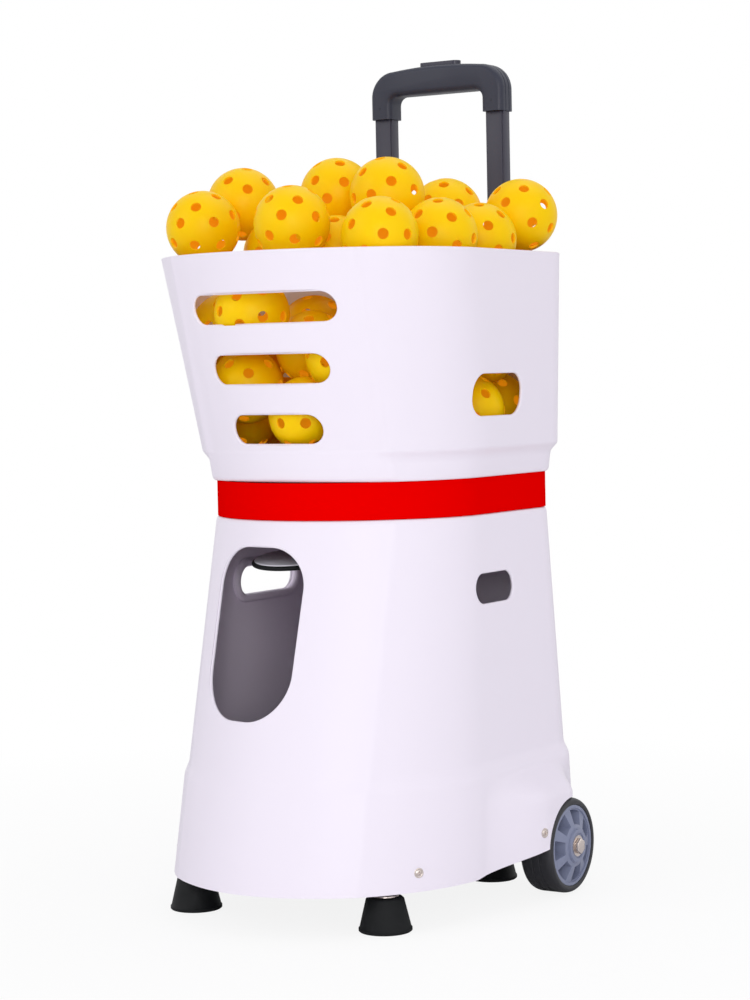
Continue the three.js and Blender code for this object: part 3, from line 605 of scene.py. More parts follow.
def metal(name, base, roughness, stretch):
    """Turned or drawn metal with fine lines along one axis."""
    recipe = Recipe(name)
    mapping = add_node(recipe.nodes, "Mapping", Scale=stretch)
    recipe.links.new(recipe.place, mapping.inputs["Vector"])
    lines = add_node(recipe.nodes, "TexNoise", Scale=LINE_SCALE)
    recipe.links.new(mapping.outputs["Vector"], lines.inputs["Vector"])
    recipe.rough(lines.outputs["Fac"], *roughness)
    recipe.bump(lines.outputs["Fac"], LINE_STRENGTH, LINE_DEPTH)
    recipe.set(Base_Color=colour(base), Metallic=1)
    return recipe.material


# Two colours, span of roughness, scale and strength of the grain, shine
SHELL_WHITE = moulded("shell_white", "F1EAF5", "F0E9F4", (0.38, 0.4), 900, 0.012, 0.22)
BAND_RED = moulded("band_red", "EA0000", "E60000", (0.32, 0.36), 700, 0.03, 0)
GRIP_BLACK = moulded("grip_black", "2E3040", "282A38", (0.38, 0.5), 1400, 0.3, 0.35)
TUBE_BLACK = moulded("tube_black", "302E40", "2A2938", (0.3, 0.4), 900, 0.08, 0.4)
RUBBER = moulded("foot_rubber", "121416", "0F1012", (0.5, 0.68), 1100, 0.3, 0.2)
TYRE = moulded("tyre_black", "222228", "1B1B20", (0.4, 0.55), 900, 0.25)
HUB_GREY = moulded("hub_grey", "8389A2", "7A8099", (0.34, 0.46), 900, 0.12)
# A darker copy of the hub grey: painted shade for the floor of the hub's windows
HUB_DARK = moulded("hub_painted_shade", "414759", "363C4E", (0.45, 0.6), 900, 0.12)
LINING = moulded("lining_dark", "F8ECFC", "F2E6F6", (0.42, 0.5), 800, 0.05)
WINE = moulded("wine_red", "7C0F33", "6A0C2C", (0.3, 0.45), 800, 0.08)
INNER_GREY = moulded("inner_grey", "8A8C93", "80828A", (0.45, 0.6), 800, 0.15)
PALE_GREY = moulded("pale_grey", "E8E6EE", "E2E0E8", (0.25, 0.35), 800, 0.05)
STEEL = metal("steel", "C2C4C8", (0.22, 0.38), (1, 1, 30))
BRIGHT = metal("bright_screw", "CFC4BE", (0.15, 0.3), (8, 8, 8))

SKIN_DRIFT_SCALE = 16
SKIN_SHEEN_SCALE = 60
SKIN_ROUGHNESS = (0.36, 0.46)
SKIN_GRAIN_SCALE = 900
SKIN_GRAIN = 0.05
SKIN_SHINE = 0.12
LIGHT_SHARE = 0.3
LIGHT_REACH = 0.012
LIGHT_SPREAD = (1.0, 0.42, 0.04)
# Painted light: a faint glow on the balls' inner faces stands in for light let through the thin
# wall
GLOW_COLOUR = "FFE020"
GLOW_INSIDE = 0.13


def ball_material(name, first, second, glow=0):
    """Thin plastic that light passes into; the glow is painted light, standing in for light let
    through from outside.
    """
    recipe = Recipe(name)
    recipe.tint(recipe.noise(SKIN_DRIFT_SCALE, 1), first, second)
    recipe.rough(recipe.noise(SKIN_SHEEN_SCALE), *SKIN_ROUGHNESS)
    recipe.bump(recipe.noise(SKIN_GRAIN_SCALE, 2), SKIN_GRAIN)
    recipe.set(Subsurface_Weight=LIGHT_SHARE, Subsurface_Scale=LIGHT_REACH)
    recipe.set(Subsurface_Radius=LIGHT_SPREAD, Specular_IOR_Level=SKIN_SHINE)
    recipe.set(Emission_Color=colour(GLOW_COLOUR), Emission_Strength=glow)
    return recipe.material


BALL_YELLOW = ball_material("ball_yellow", "FFCE00", "FFCA00")
# Inside faces: a deeper orange and a glow, both painted light let through the thin wall
BALL_INSIDE = ball_material("ball_inside_painted_light", "FFB820", "FFB01C", GLOW_INSIDE)


# White shells

MOUTH_X = -25
VISOR_X = -20.7
MOUTH_LEAN = 0.032
MOUTH_WIDTH = 109.2
MOUTH_LOW_Z = 196.5
MOUTH_TOP_Z = 361.5
MOUTH_RADIUS = 40
MOUTH_LOW_RADIUS = 46
MOUTH_Z = (MOUTH_LOW_Z + MOUTH_TOP_Z) / 2
GRIP_Z = 314.8
GRIP_HEIGHT = 29.4
# Hand grip holes, right and left: y of the middle, and length
GRIPS = {1: (19.5, 73), -1: (41.5, 103)}
LIP = SHELL_WALL / 2
LIP_SIDES = 16
MOUTH_STEPS = 20
HOLE_STEPS = 14
CUT_DEPTH = 60
FACE_LOW_Z = 199
FACE_TOP_Z = 364
ARCH_GAP = 1.5
ARCH_SIDES = 96
EDGE_RISE_Y = -55
EDGE_REAR_Z = 52.5

WHEEL_MIDDLE = middle("wheel_tyre_right")
WHEEL_Y = WHEEL_MIDDLE.y - SHIFT_Y
WHEEL_RADIUS = WHEEL_MIDDLE.z
WHEEL_FACE = extent("wheel_tyre_right")[1].x
WHEEL_INNER = extent("wheel_tyre_right")[0].x
ARCH_RADIUS = WHEEL_RADIUS + ARCH_GAP


def arch_tool(side):
    start = WHEEL_INNER - 2 * SEAT_GAP
    length = WHEEL_FACE - start + 2 * SHELL_WALL
    outline = circle(ARCH_RADIUS, ARCH_SIDES)
    centre = (side * (start + length / 2), WHEEL_MIDDLE.y, WHEEL_MIDDLE.z)
    return prism("tool", outline, "X", centre, length)


def edge_tool():
    """The lower edge of the skirt rises from behind the front feet to the wheels."""
    rear = HOUSING_FOOT["rear"] + CUT_DEPTH
    low = HOUSING_FOOT["z"] - CUT_DEPTH
    outline = [
        (EDGE_RISE_Y, low),
        (rear, low),
        (rear, EDGE_REAR_Z),
        (WHEEL_Y - ARCH_RADIUS, EDGE_REAR_Z),
        (EDGE_RISE_Y, HOUSING_FOOT["z"]),
    ]
    return prism("tool", outline, "X", (0, SHIFT_Y, 0), 3 * WHEEL_FACE)


def mouth_outline(margin=0):
    """Two radii: fuller below than above, and leaning a little to one side."""
    width = MOUTH_WIDTH + 2 * margin
    height = MOUTH_TOP_Z - MOUTH_LOW_Z + 2 * margin
    top = rounded_outline(width, height, MOUTH_RADIUS + margin, MOUTH_STEPS)
    low = rounded_outline(width, height, MOUTH_LOW_RADIUS + margin, MOUTH_STEPS)
    both = [under if under[1] < 0 else over for over, under in zip(top, low)]
    return [(u + MOUTH_LEAN * v, v) for u, v in both]


def mouth_tool(margin=0):
    y = front_y(housing_section(MOUTH_Z), MOUTH_X) + SHIFT_Y
    return prism("tool", mouth_outline(margin), "Y", (MOUTH_X, y, MOUTH_Z), 2 * CUT_DEPTH)


def grip_outline(side, margin=0):
    height = GRIP_HEIGHT + 2 * margin
    return rounded_outline(GRIPS[side][1] + 2 * margin, height, height / 2, HOLE_STEPS)


def grip_tool(side, margin=0):
    x = side * housing_section(GRIP_Z)["half"]
    y = GRIPS[side][0] + SHIFT_Y
    return prism("tool", grip_outline(side, margin), "X", (x, y, GRIP_Z), CUT_DEPTH)


def lip(path):
    return smooth(tube("lip", path, LIP, sides=LIP_SIDES), CORD_ANGLE)


def white_shell(body, holes, lips, node):
    """Cut the holes, add the rounded lips round them and finish."""
    cut(body, holes)
    smooth(body)
    merged([body] + lips)
    finish_piece(body, "body", SHELL_WHITE, [node])


def housing():
    foot, head = HOUSING_FOOT["z"], HOUSING_HEAD["z"]
    skirt = ((foot, 10), (FLARE_TOP_Z, 14), (SKIRT_TOP_Z, 8), (SKIRT_TOP_Z + SKIRT_STEP_HEIGHT, 10))
    levels = spread(*skirt, (FACE_LOW_Z, 20), (FACE_TOP_Z, 3), (head - TUCK_HEIGHT, 6), (head, 0))
    body = shell("housing", housing_section, levels, SHELL_WALL, crease=HOUSING_CREASE_SHARE)
    tools = [edge_tool(), arch_tool(1), arch_tool(-1), mouth_tool(LIP)]
    mouth_path = front_path(mouth_outline(LIP), MOUTH_X, MOUTH_Z, housing_section, LIP)
    lips = [lip(mouth_path)]
    for side, (y, _) in GRIPS.items():
        tools.append(grip_tool(side, LIP))
        path = side_path(grip_outline(side, LIP), side, y, GRIP_Z, housing_section, LIP)
        lips.append(lip(path))
    white_shell(body, tools, lips, "housing_shell")


# Lining behind the mouth, along the inside of the housing

LINING_LOW_Z = 150
LINING_TOP_Z = 383
LINING_REAR_Y = 112
LINING_THICK = 1.5
LINING_MARGIN = 4
FLANGE = 4.5
FLANGE_LAP = 0.5
FLANGE_DEPTH = 3
FLANGE_SIDES = 20


def lining():
    """Thin dark skin along the inside of the housing, flanged round the far grip hole."""
    levels = spread((LINING_LOW_Z, 24), (LINING_TOP_Z, 0))
    skin = shell("lining", housing_section, levels, LINING_THICK, inset=SHELL_WALL + SEAT_GAP)
    reach = HOUSING_FOOT["rear"]
    block = rounded_outline(2 * reach, 2 * reach, 1, 1)
    rear_y = LINING_REAR_Y + reach + SHIFT_Y
    rear = prism("tool", block, "Z", (0, rear_y, MOUTH_Z), 2 * reach)
    holes = [mouth_tool(LINING_MARGIN), grip_tool(1, LINING_MARGIN), grip_tool(-1, LIP)]
    cut(skin, [rear] + holes)
    smooth(skin)
    y = GRIPS[-1][0]
    edge = grip_outline(-1, FLANGE - FLANGE_LAP)
    path = side_path(edge, -1, y, GRIP_Z, housing_section, SHELL_WALL + FLANGE_DEPTH)
    flange = smooth(tube("flange", path, FLANGE, sides=FLANGE_SIDES), CORD_ANGLE)
    merged([skin, flange])
    finish_piece(skin, "body", LINING, ["mouth_lining"])


LEDGE_LOW_Z = 449
LEDGE_TOP_Z = 457
RIM_EXTRA = 0.2
SLOT_LOW_Z = 476
SLOT_PITCH = 58
SLOT_LENGTHS = (102, 133, 164)
SLOT_HEIGHT = 28
WINDOW_Y = 9.5
WINDOW_Z = 505
WINDOW_LENGTH = 92
WINDOW_HEIGHT = 41
WINDOW_RADIUS = 18


def slot_outline(length, margin=0):
    height = SLOT_HEIGHT + 2 * margin
    return rounded_outline(length + 2 * margin, height, height / 2, HOLE_STEPS)


def window_outline(margin=0):
    width = WINDOW_LENGTH + 2 * margin
    height = WINDOW_HEIGHT + 2 * margin
    return rounded_outline(width, height, WINDOW_RADIUS + margin, HOLE_STEPS)


def hopper():
    neck = HOPPER_NECK["z"]
    rim = HOPPER_RIM["z"]
    levels = spread(
        (neck, 6), (neck + TUCK_HEIGHT, 5), (LEDGE_LOW_Z, 8), (LEDGE_TOP_Z, 30), (rim, 0)
    )
    body = shell("hopper", hopper_section, levels, SHELL_WALL, crease=1, front_at=hopper_front)
    tools = []
    rim_section = hopper_section(rim - LIP / 2)
    rim_lip = tube("lip", ring_path(rim_section, LIP), LIP + RIM_EXTRA)
    lips = [smooth(rim_lip, CORD_ANGLE)]
    for i, length in enumerate(SLOT_LENGTHS):
        z = SLOT_LOW_Z + i * SLOT_PITCH
        outline = slot_outline(length, LIP)
        y = front_y(hopper_front(z), 0) + SHIFT_Y
        tools.append(prism("tool", outline, "Y", (0, y, z), 2 * CUT_DEPTH))
        lips.append(lip(front_path(outline, 0, z, hopper_front, LIP, 1)))
    for side in (1, -1):
        outline = window_outline(LIP)
        x = side * hopper_section(WINDOW_Z)["half"]
        tools.append(prism("tool", outline, "X", (x, WINDOW_Y + SHIFT_Y, WINDOW_Z), CUT_DEPTH))
        path = side_path(outline, side, WINDOW_Y, WINDOW_Z, hopper_section, LIP)
        lips.append(lip(path))
    white_shell(body, tools, lips, "hopper_shell")


def band():
    body = shell("band", band_section, [BAND_LOW_Z, BAND_TOP_Z], SHELL_WALL)
    bevelled(body, BAND_EDGE)
    finish_piece(body, "body", BAND_RED, ["accent_band"])


# Carried-over pieces: the frame's solid with clean faces, softened edges and a material

def dressed(node, body, material, width, slot, segments=2):
    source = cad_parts[node]
    shape = bmesh.new()
    shape.from_mesh(source.data)
    bmesh.ops.remove_doubles(shape, verts=shape.verts, dist=LEAST * MM)
    bmesh.ops.dissolve_limit(
        shape, angle_limit=radians(FLAT_ANGLE), verts=shape.verts, edges=shape.edges
    )
    mesh = bpy.data.meshes.new(node)
    shape.to_mesh(mesh)
    shape.free()
    piece = link("looks_" + node, mesh)
    if width:
        bevelled(piece, width, segments)
    else:
        smooth(piece)
    return finish_piece(piece, body, material, [node])


# Node, body, material, width of the softened edge, slot, and the edge's steps if not two
INNER_PIECES = (
    ("base_plate", "body", INNER_GREY, 0.5, "inner_grey"),
    ("hopper_floor", "body", INNER_GREY, 0, "inner_grey"),
    ("feed_deck", "body", INNER_GREY, 0, "inner_grey"),
    ("feed_motor", "body", STEEL, 0.5, "steel"),
    ("turntable_column", "body", INNER_GREY, 0.8, "inner_grey"),
    ("battery_pack", "body", GRIP_BLACK, 1.5, "handle_black"),
    ("feed_rotor", "rotor", WINE, 0.8, "wine_red"),
    ("yaw_turntable", "turntable", INNER_GREY, 0.6, "inner_grey"),
    ("ball_scoop", "turntable", LINING, 0.5, "lining_dark"),
    ("launcher_cradle", "cradle", WINE, 0.5, "wine_red"),
    ("launch_motor_upper", "cradle", STEEL, 0.8, "steel"),
    ("launch_motor_lower", "cradle", STEEL, 0.8, "steel"),
    ("launch_hub_upper", "launch_wheel_upper", HUB_GREY, 0.8, "hub_grey"),
    ("launch_tyre_upper", "launch_wheel_upper", TYRE, 0, "tyre_black"),
    ("launch_hub_lower", "launch_wheel_lower", HUB_GREY, 0.8, "hub_grey"),
    ("launch_tyre_lower", "launch_wheel_lower", TYRE, 0, "tyre_black"),
    ("launcher_visor", "cradle", PALE_GREY, 0.4, "pale_grey"),
)
REAR_CONTROLS = (
    ("control_panel", "body", GRIP_BLACK, 0.8, "handle_black"),
    ("charge_socket", "body", RUBBER, 0.4, "foot_rubber"),
    ("power_switch", "rocker", RUBBER, 0.5, "foot_rubber"),
    ("control_button_left", "button_left", PALE_GREY, 0.8, "pale_grey", 3),
    ("control_button_right", "button_right", PALE_GREY, 0.8, "pale_grey", 3),
)
VISOR_Y = -75
VISOR_Z = 345.8
VISOR_RADIUS = 45.4
VISOR_EDGE = 2.3
VISOR_TILT = radians(8)
VISOR_ARC = (radians(150), radians(390))
VISOR_STEPS = 39


def visor_edge():
    """Dark rubber edge along the visor, tilted with it."""
    path = []
    for x, y in arc((0, 0), VISOR_RADIUS, *VISOR_ARC, VISOR_STEPS):
        back, up = y * cos(VISOR_TILT), y * sin(VISOR_TILT)
        path.append((VISOR_X + x, VISOR_Y + SHIFT_Y + back, VISOR_Z + up))
    edge = tube("visor_edge", path, VISOR_EDGE, closed=False, sides=LIP_SIDES)
    finish_piece(smooth(edge, CORD_ANGLE), "cradle", RUBBER)


# Feet

FOOT_NAMES = ("front_left", "front_right", "rear_left", "rear_right")
FOOT_TOP_RADIUS = 18
FOOT_WAIST_IN = 0.2
FOOT_WAIST_UP = 0.52
# Outward from the foot's rim and up from the ground; then radius and height over the foot's top
FOOT_RIM = ((-1.2, 0), (0, 1), (0, 3.4), (-1, 4.4))
FOOT_CROWN = ((18.3, -2), (16.5, -0.3), (9, -0.3), (8.5, -1.5), (0, -1.5))
FOOT_WASHER = ((9.3, 0.2), (13, 0.2), (13.4, 0.8), (13, 2), (9.3, 2))


def feet():
    for name in FOOT_NAMES:
        node = "foot_" + name
        low, high = extent(node)
        centre = middle(node)
        radius = (high.x - low.x) / 2
        waist = lerp(radius, FOOT_TOP_RADIUS, 0.5) - FOOT_WAIST_IN
        profile = [(0, 0)] + [(radius + out, up) for out, up in FOOT_RIM]
        profile.append((waist, high.z * FOOT_WAIST_UP))
        profile += [(across, high.z + up) for across, up in FOOT_CROWN]
        rubber = revolved("rubber_" + name, profile, "Z", (centre.x, centre.y, 0))
        smooth(rubber, ROUND_ANGLE)
        finish_piece(rubber, "body", RUBBER, [node])
        disc = [(across, high.z + up) for across, up in FOOT_WASHER]
        washer = smooth(revolved("washer_" + name, disc, "Z", (centre.x, centre.y, 0)))
        finish_piece(washer, "body", BRIGHT)


# Road wheels

HUB_RADIUS = 41
BOSS_FACE = 23
BOSS_RADIUS = 17.5
HUB_FLOOR = 4.5
HUB_WINDOW = (21.5, 36)
BOLT_WASHER = (6.3, 10.6)
WASHER_RISE = 0.1
DISC_THICK = 0.4
TYRE_SHOULDER = 8
TYRE_DROP = 3.5
TYRE_STEPS = 8
TYRE_SIDES = 96
RING_SIDES = 72
WASHER_SIDES = 48
GROOVE_SHARE = 0.3
HUB_EDGE = 0.7
BRACKET_EDGE = 0.6
# Outward and along from the tyre's bead, from the groove's start and from the boss's rim
TYRE_BEAD = ((0, 0.6), (1.2, 0))
TYRE_GROOVE = ((0, 0), (-0.8, 0.6), (-0.8, 1.8), (0, 2.4))
BOSS_RING = ((-0.5, -0.3), (-0.8, 0.9), (-1.6, 1.3), (-4.2, 1.3), (-5, 0.9), (-5.4, -0.3))


def tyre_profile(half):
    """Square shoulders rounded off, a shallow groove either side of the tread."""
    shoulder = WHEEL_RADIUS - TYRE_DROP
    profile = [(HUB_RADIUS + out, along - half) for out, along in TYRE_BEAD]
    profile.append((shoulder, -half))
    for i in range(1, TYRE_STEPS + 1):
        angle = RIGHT_ANGLE * i / TYRE_STEPS
        along = TYRE_SHOULDER - half - TYRE_SHOULDER * cos(angle)
        profile.append((shoulder + TYRE_DROP * sin(angle), along))
    groove = half * GROOVE_SHARE
    profile += [(WHEEL_RADIUS + out, along - groove) for out, along in TYRE_GROOVE]
    return profile + [(radius, -along) for radius, along in reversed(profile)]


def disc_profile(span, low):
    inner, outer = span
    high = low + DISC_THICK
    return [(inner, low), (outer, low), (outer, high), (inner, high)]


def facing(piece, side, place):
    """Mirror a wheel piece for the left side and put it in its place."""
    if side < 0:
        piece.data.transform(Matrix.Scale(-1, 4, (1, 0, 0)))
        recalc(piece)
    piece.data.transform(Matrix.Translation(place * MM))
    return smooth(piece, WHEEL_ANGLE)


def road_wheel(name, side):
    centre = middle("wheel_tyre_" + name)
    body = "road_wheel_" + name
    half = (WHEEL_FACE - WHEEL_INNER) / 2

    def turned(prefix, profile, sides):
        return facing(revolved(prefix + name, profile, "X", (0, 0, 0), sides), side, centre)

    tyre = turned("tyre_", tyre_profile(half), TYRE_SIDES)
    finish_piece(tyre, body, TYRE, ["wheel_tyre_" + name])
    dressed("wheel_hub_" + name, body, HUB_GREY, HUB_EDGE, "hub_grey", 3)
    boss = [(BOSS_RADIUS + out, BOSS_FACE + along) for out, along in BOSS_RING]
    finish_piece(turned("hub_ring_", boss, RING_SIDES), body, HUB_GREY)
    # A thin dark disc on the floor of the hub's windows: painted shade in the recesses
    backing = turned("hub_pocket_shade_", disc_profile(HUB_WINDOW, HUB_FLOOR), RING_SIDES)
    finish_piece(backing, body, HUB_DARK)
    disc = disc_profile(BOLT_WASHER, BOSS_FACE + WASHER_RISE)
    finish_piece(turned("bolt_washer_", disc, WASHER_SIDES), "body", BRIGHT)


def road_wheels():
    for name, side in (("left", -1), ("right", 1)):
        road_wheel(name, side)
        dressed("axle_bracket_" + name, "body", BRIGHT, BRACKET_EDGE, "steel")


# Trolley handle

HANDLE_GRIP = dict(half=80.5, inner=56, low=799, under=822.5, shoulder=849, crown=3)
GRIP_CORNER = 27
GRIP_STEPS = 14
GRIP_INNER_CORNER = 9
GRIP_INNER_STEPS = 8
GRIP_EDGE = 6
GRIP_GROOVE = 0.9
GRIP_GROOVE_Y = 3.5
GRIP_SCREW_Z = 810
POST_WIDTH = 21.5
POST_NOTCH = 1.7
POST_EDGE = 0.5
GUIDE_EDGE = 0.4
CLAMP_EDGE = 1
COLLAR_HEIGHT = 5
COLLAR_CORNER = 4
COLLAR_EDGE = 0.8
COLLAR_ROOM = 0.6
CROWN_STEPS = 16
SLEEVE_CUT = (200, 60)
POCKET_ROOM = 1
POCKET_DEPTH = 5
GRIP_SCREW_RADIUS = 3.2
GRIP_SCREW_SINK = 0.8
BUTTON_DROP = 2
BUTTON_EDGE = 2


def grip_top():
    """The grip's outer line from the right sleeve's end over the crown to the left one's."""
    half, low = HANDLE_GRIP["half"], HANDLE_GRIP["low"]
    shoulder, crown = HANDLE_GRIP["shoulder"], HANDLE_GRIP["crown"]
    flat = half - GRIP_CORNER
    points = [(half, low - GRIP_EDGE)]
    points += arc((flat, shoulder - GRIP_CORNER), GRIP_CORNER, 0, RIGHT_ANGLE, GRIP_STEPS)
    for i in range(1, CROWN_STEPS):
        x = lerp(flat, -flat, i / CROWN_STEPS)
        points.append((x, shoulder + crown * (1 - (x / flat) ** 2)))
    points += arc((-flat, shoulder - GRIP_CORNER), GRIP_CORNER, RIGHT_ANGLE, pi, GRIP_STEPS)
    return points + [(-half, low - GRIP_EDGE)]


def grip_under():
    inner, under = HANDLE_GRIP["inner"], HANDLE_GRIP["under"]
    low = HANDLE_GRIP["low"] - GRIP_EDGE
    r = GRIP_INNER_CORNER
    points = [(-inner, low)]
    points += arc((r - inner, under - r), r, pi, RIGHT_ANGLE, GRIP_INNER_STEPS)
    points += arc((inner - r, under - r), r, RIGHT_ANGLE, 0, GRIP_INNER_STEPS)
    return points + [(inner, low)]


def handle_grip():
    """One moulding: two sleeves and a crowned bar, with fine grooves over the outside."""
    low, high = extent("handle_grip")
    y = (low.y + high.y) / 2
    body = prism("handle_grip_looks", grip_top() + grip_under(), "Y", (0, y, 0), high.y - low.y)
    bevelled(body, GRIP_EDGE, 5)
    cut_z = HANDLE_GRIP["low"] - CUT_DEPTH / 2
    under = prism("tool", rounded_outline(*SLEEVE_CUT, 1, 1), "Z", (0, y, cut_z), CUT_DEPTH)
    button_low, button_high = extent("release_button")
    width = button_high.x - button_low.x + POCKET_ROOM
    depth = button_high.y - button_low.y + POCKET_ROOM
    pocket_z = button_low.z - POCKET_DEPTH + CUT_DEPTH / 2
    outline = rounded_outline(width, depth, depth / 2)
    pocket = prism("tool", outline, "Z", (0, y, pocket_z), CUT_DEPTH)
    grooves = [
        tube("tool", [(x, y + step, z) for x, z in grip_top()], GRIP_GROOVE, closed=False)
        for step in (-GRIP_GROOVE_Y, GRIP_GROOVE_Y)
    ]
    cut(body, [under, pocket] + grooves)
    smooth(body, GRIP_ANGLE)
    finish_piece(body, "handle", GRIP_BLACK, ["handle_grip"])
    for name in ("left", "right"):
        post = middle("handle_post_" + name)
        front, rear = low.y + GRIP_SCREW_SINK, high.y - GRIP_SCREW_SINK
        for face, face_y, turn in (("front", front, 0), ("rear", rear, pi)):
            screw = screw_head(f"grip_screw_{name}_{face}", GRIP_SCREW_RADIUS)
            screw.data.transform(Matrix.Rotation(turn, 4, "Z"))
            screw.data.transform(Matrix.Translation(Vector((post.x, face_y, GRIP_SCREW_Z)) * MM))
            finish_piece(screw, "handle", RUBBER)


def release_button():
    """Low domed button in the crown of the grip."""
    low, high = extent("release_button")
    centre = (low + high) / 2
    height = high.z - low.z - BUTTON_DROP
    outline = rounded_outline(high.x - low.x, high.y - low.y, (high.y - low.y) / 2)
    button = prism("release_button_looks", outline, "Z", (0, centre.y, low.z + height / 2), height)
    bevelled(button, BUTTON_EDGE, 4)
    finish_piece(button, "handle_button", TUBE_BLACK, ["release_button"])


def post_outline(width, depth):
    """Drawn profile with a small notch along each corner."""
    w, h, n = width / 2, depth / 2, POST_NOTCH
    outline = []
    for across, up in ((1, -1), (1, 1), (-1, 1), (-1, -1)):
        steps = ((w - n, h), (w - n, h - n), (w, h - n))
        corner = [(across * x, up * y) for x, y in steps]
        outline += corner if across == -up else corner[::-1]
    return outline


def handle():
    handle_grip()
    release_button()
    for name in ("left", "right"):
        dressed("handle_guide_" + name, "body", TUBE_BLACK, GUIDE_EDGE, "handle_black")
        low, high = extent("handle_post_" + name)
        centre = (low + high) / 2
        outline = post_outline(POST_WIDTH, high.y - low.y)
        post = prism("post_" + name, outline, "Z", tuple(centre), high.z - low.z)
        bevelled(post, POST_EDGE)
        finish_piece(post, "handle", TUBE_BLACK, ["handle_post_" + name])
        guide_low, guide_high = extent("handle_guide_" + name)
        wide, deep, _ = guide_high - guide_low
        outline = rounded_outline(wide, deep, COLLAR_CORNER)
        place = (centre.x, centre.y, guide_high.z + COLLAR_HEIGHT / 2)
        collar = prism("guide_collar_" + name, outline, "Z", place, COLLAR_HEIGHT)
        hole = rounded_outline(POST_WIDTH + COLLAR_ROOM, high.y - low.y + COLLAR_ROOM, 1)
        cut(collar, [prism("tool", hole, "Z", (centre.x, centre.y, guide_high.z), CUT_DEPTH)])
        bevelled(collar, COLLAR_EDGE)
        finish_piece(collar, "body", GRIP_BLACK)
    for place in ("lower", "upper"):
        dressed("guide_bracket_" + place, "body", GRIP_BLACK, CLAMP_EDGE, "handle_black")


# Screws: domed head with a cross recess, facing -Y

# Head: share of the radius and height; cup: radius and height; cross: shares of the radius
SCREW_HEAD = ((0, 0.9), (0.6, 0.75), (0.9, 0.35), (1, 0), (1, -0.6), (0, -0.6))
SCREW_CUP = ((3.3, -0.2), (4.9, -0.2), (4.9, 0.15), (4.5, 0.4), (3.8, 0.4), (3.3, 0.1))
SCREW_CROSS = (1.2, 0.26)
CROSS_CORNER = 0.1
SCREW_RECESS = 0.8
SCREW_SIDES = 32
SIDE_SCREW_RADIUS = 3.4
SIDE_SCREW_RISE = 0.2
# y and z of each screw on a side
SIDE_SCREWS = ((-125.6, 55.5), (38, 70))


def screw_head(name, radius):
    profile = [(radius * share, along) for share, along in SCREW_HEAD]
    head = revolved(name, profile, "Y", (0, 0, 0), SCREW_SIDES)
    arms = []
    for across, up in (SCREW_CROSS, SCREW_CROSS[::-1]):
        outline = rounded_outline(radius * across, radius * up, CROSS_CORNER, 2)
        arms.append(prism("tool", outline, "Y", (0, -SCREW_RECESS, 0), 2 * SCREW_RECESS))
    cut(head, arms)
    return smooth(head, ROUND_ANGLE)


def side_screws():
    for side, name in ((1, "right"), (-1, "left")):
        for i, (y, z) in enumerate(SIDE_SCREWS):
            section = housing_section(z)
            x = side_x(section, y)
            ahead = side_x(section, y + 1)
            slope = atan2(ahead - x, 1)
            head = screw_head(f"side_screw_{name}_{i}", SIDE_SCREW_RADIUS)
            cup = revolved("cup", SCREW_CUP, "Y", (0, 0, 0), SCREW_SIDES)
            merged([head, smooth(cup)])
            head.data.transform(Matrix.Rotation(RIGHT_ANGLE - slope, 4, "Z"))
            if side < 0:
                head.data.transform(Matrix.Scale(-1, 4, (1, 0, 0)))
                recalc(head)
            place = Vector((side * (x + SIDE_SCREW_RISE), y + SHIFT_Y, z)) * MM
            head.data.transform(Matrix.Translation(place))
            finish_piece(head, "body", BRIGHT)


# Balls: hollow, with twenty-six round holes, turned at random

BALL_RADIUS = 37
BALL_WALL = 2
BALL_HOLES = 26
HOLE_RADIUS = 5.3
HOLE_SIDES = 24
BALL_CUTS = 5
CORE_CUTS = 4


def sphere(name, radius, cuts):
    shape = bmesh.new()
    bmesh.ops.create_icosphere(shape, subdivisions=cuts, radius=radius * MM)
    mesh = bpy.data.meshes.new(name)
    shape.to_mesh(mesh)
    shape.free()
    return link(name, mesh)


def ball_mesh():
    ball = sphere("ball", BALL_RADIUS, BALL_CUTS)
    core = sphere("core", BALL_RADIUS - BALL_WALL, CORE_CUTS)
    golden = pi * (3 - sqrt(5))
    pins = []
    for i in range(BALL_HOLES):
        height = 1 - 2 * (i + 0.5) / BALL_HOLES
        around = sqrt(1 - height * height)
        way = Vector((around * cos(golden * i), around * sin(golden * i), height))
        pin = prism("pin", circle(HOLE_RADIUS, HOLE_SIDES), "Z", (0, 0, BALL_RADIUS), 4 * BALL_WALL)
        pin.data.transform(way.to_track_quat("Z", "Y").to_matrix().to_4x4())
        pins.append(pin)
    cut(ball, [core, merged(pins)])
    skin_middle = (BALL_RADIUS - BALL_WALL / 2) * MM
    ball.data.materials.clear()
    ball.data.materials.append(BALL_YELLOW)
    ball.data.materials.append(BALL_INSIDE)
    # Faces inside the skin's middle get the inside material, with its painted light
    for face in ball.data.polygons:
        if face.center.length < skin_middle:
            face.material_index = 1
    smooth(ball, ROUND_ANGLE)
    mesh = ball.data
    bpy.data.objects.remove(ball)
    return mesh


LOAD_COUNT = 34
LOAD_TRIES = 500
LOAD_TOP_Z = 612
LOAD_SPAN_X = (-140, 140)
LOAD_SPAN_Y = (-150, 130)
LOAD_SQUEEZE = 0.4
RIM_POINTS = 16
LOAD_SEED = 7
WALL_ROOM = SHELL_WALL + 1
TOUCH = 2 * BALL_RADIUS
OUTWARD = 0.12
FLOOR_SLOPE = 0.07
LOAD_LIFT = 1.5
CONE_LIFT = 12
CONE_REACH = 80


def inside(section, x, y):
    """Whether a place in the plan is within the hopper's wall."""
    if abs(x) > section["half"] - WALL_ROOM or y > section["rear"] - WALL_ROOM:
        return False
    return y > -section["shoulder"] or y > front_y(section, x, WALL_ROOM)


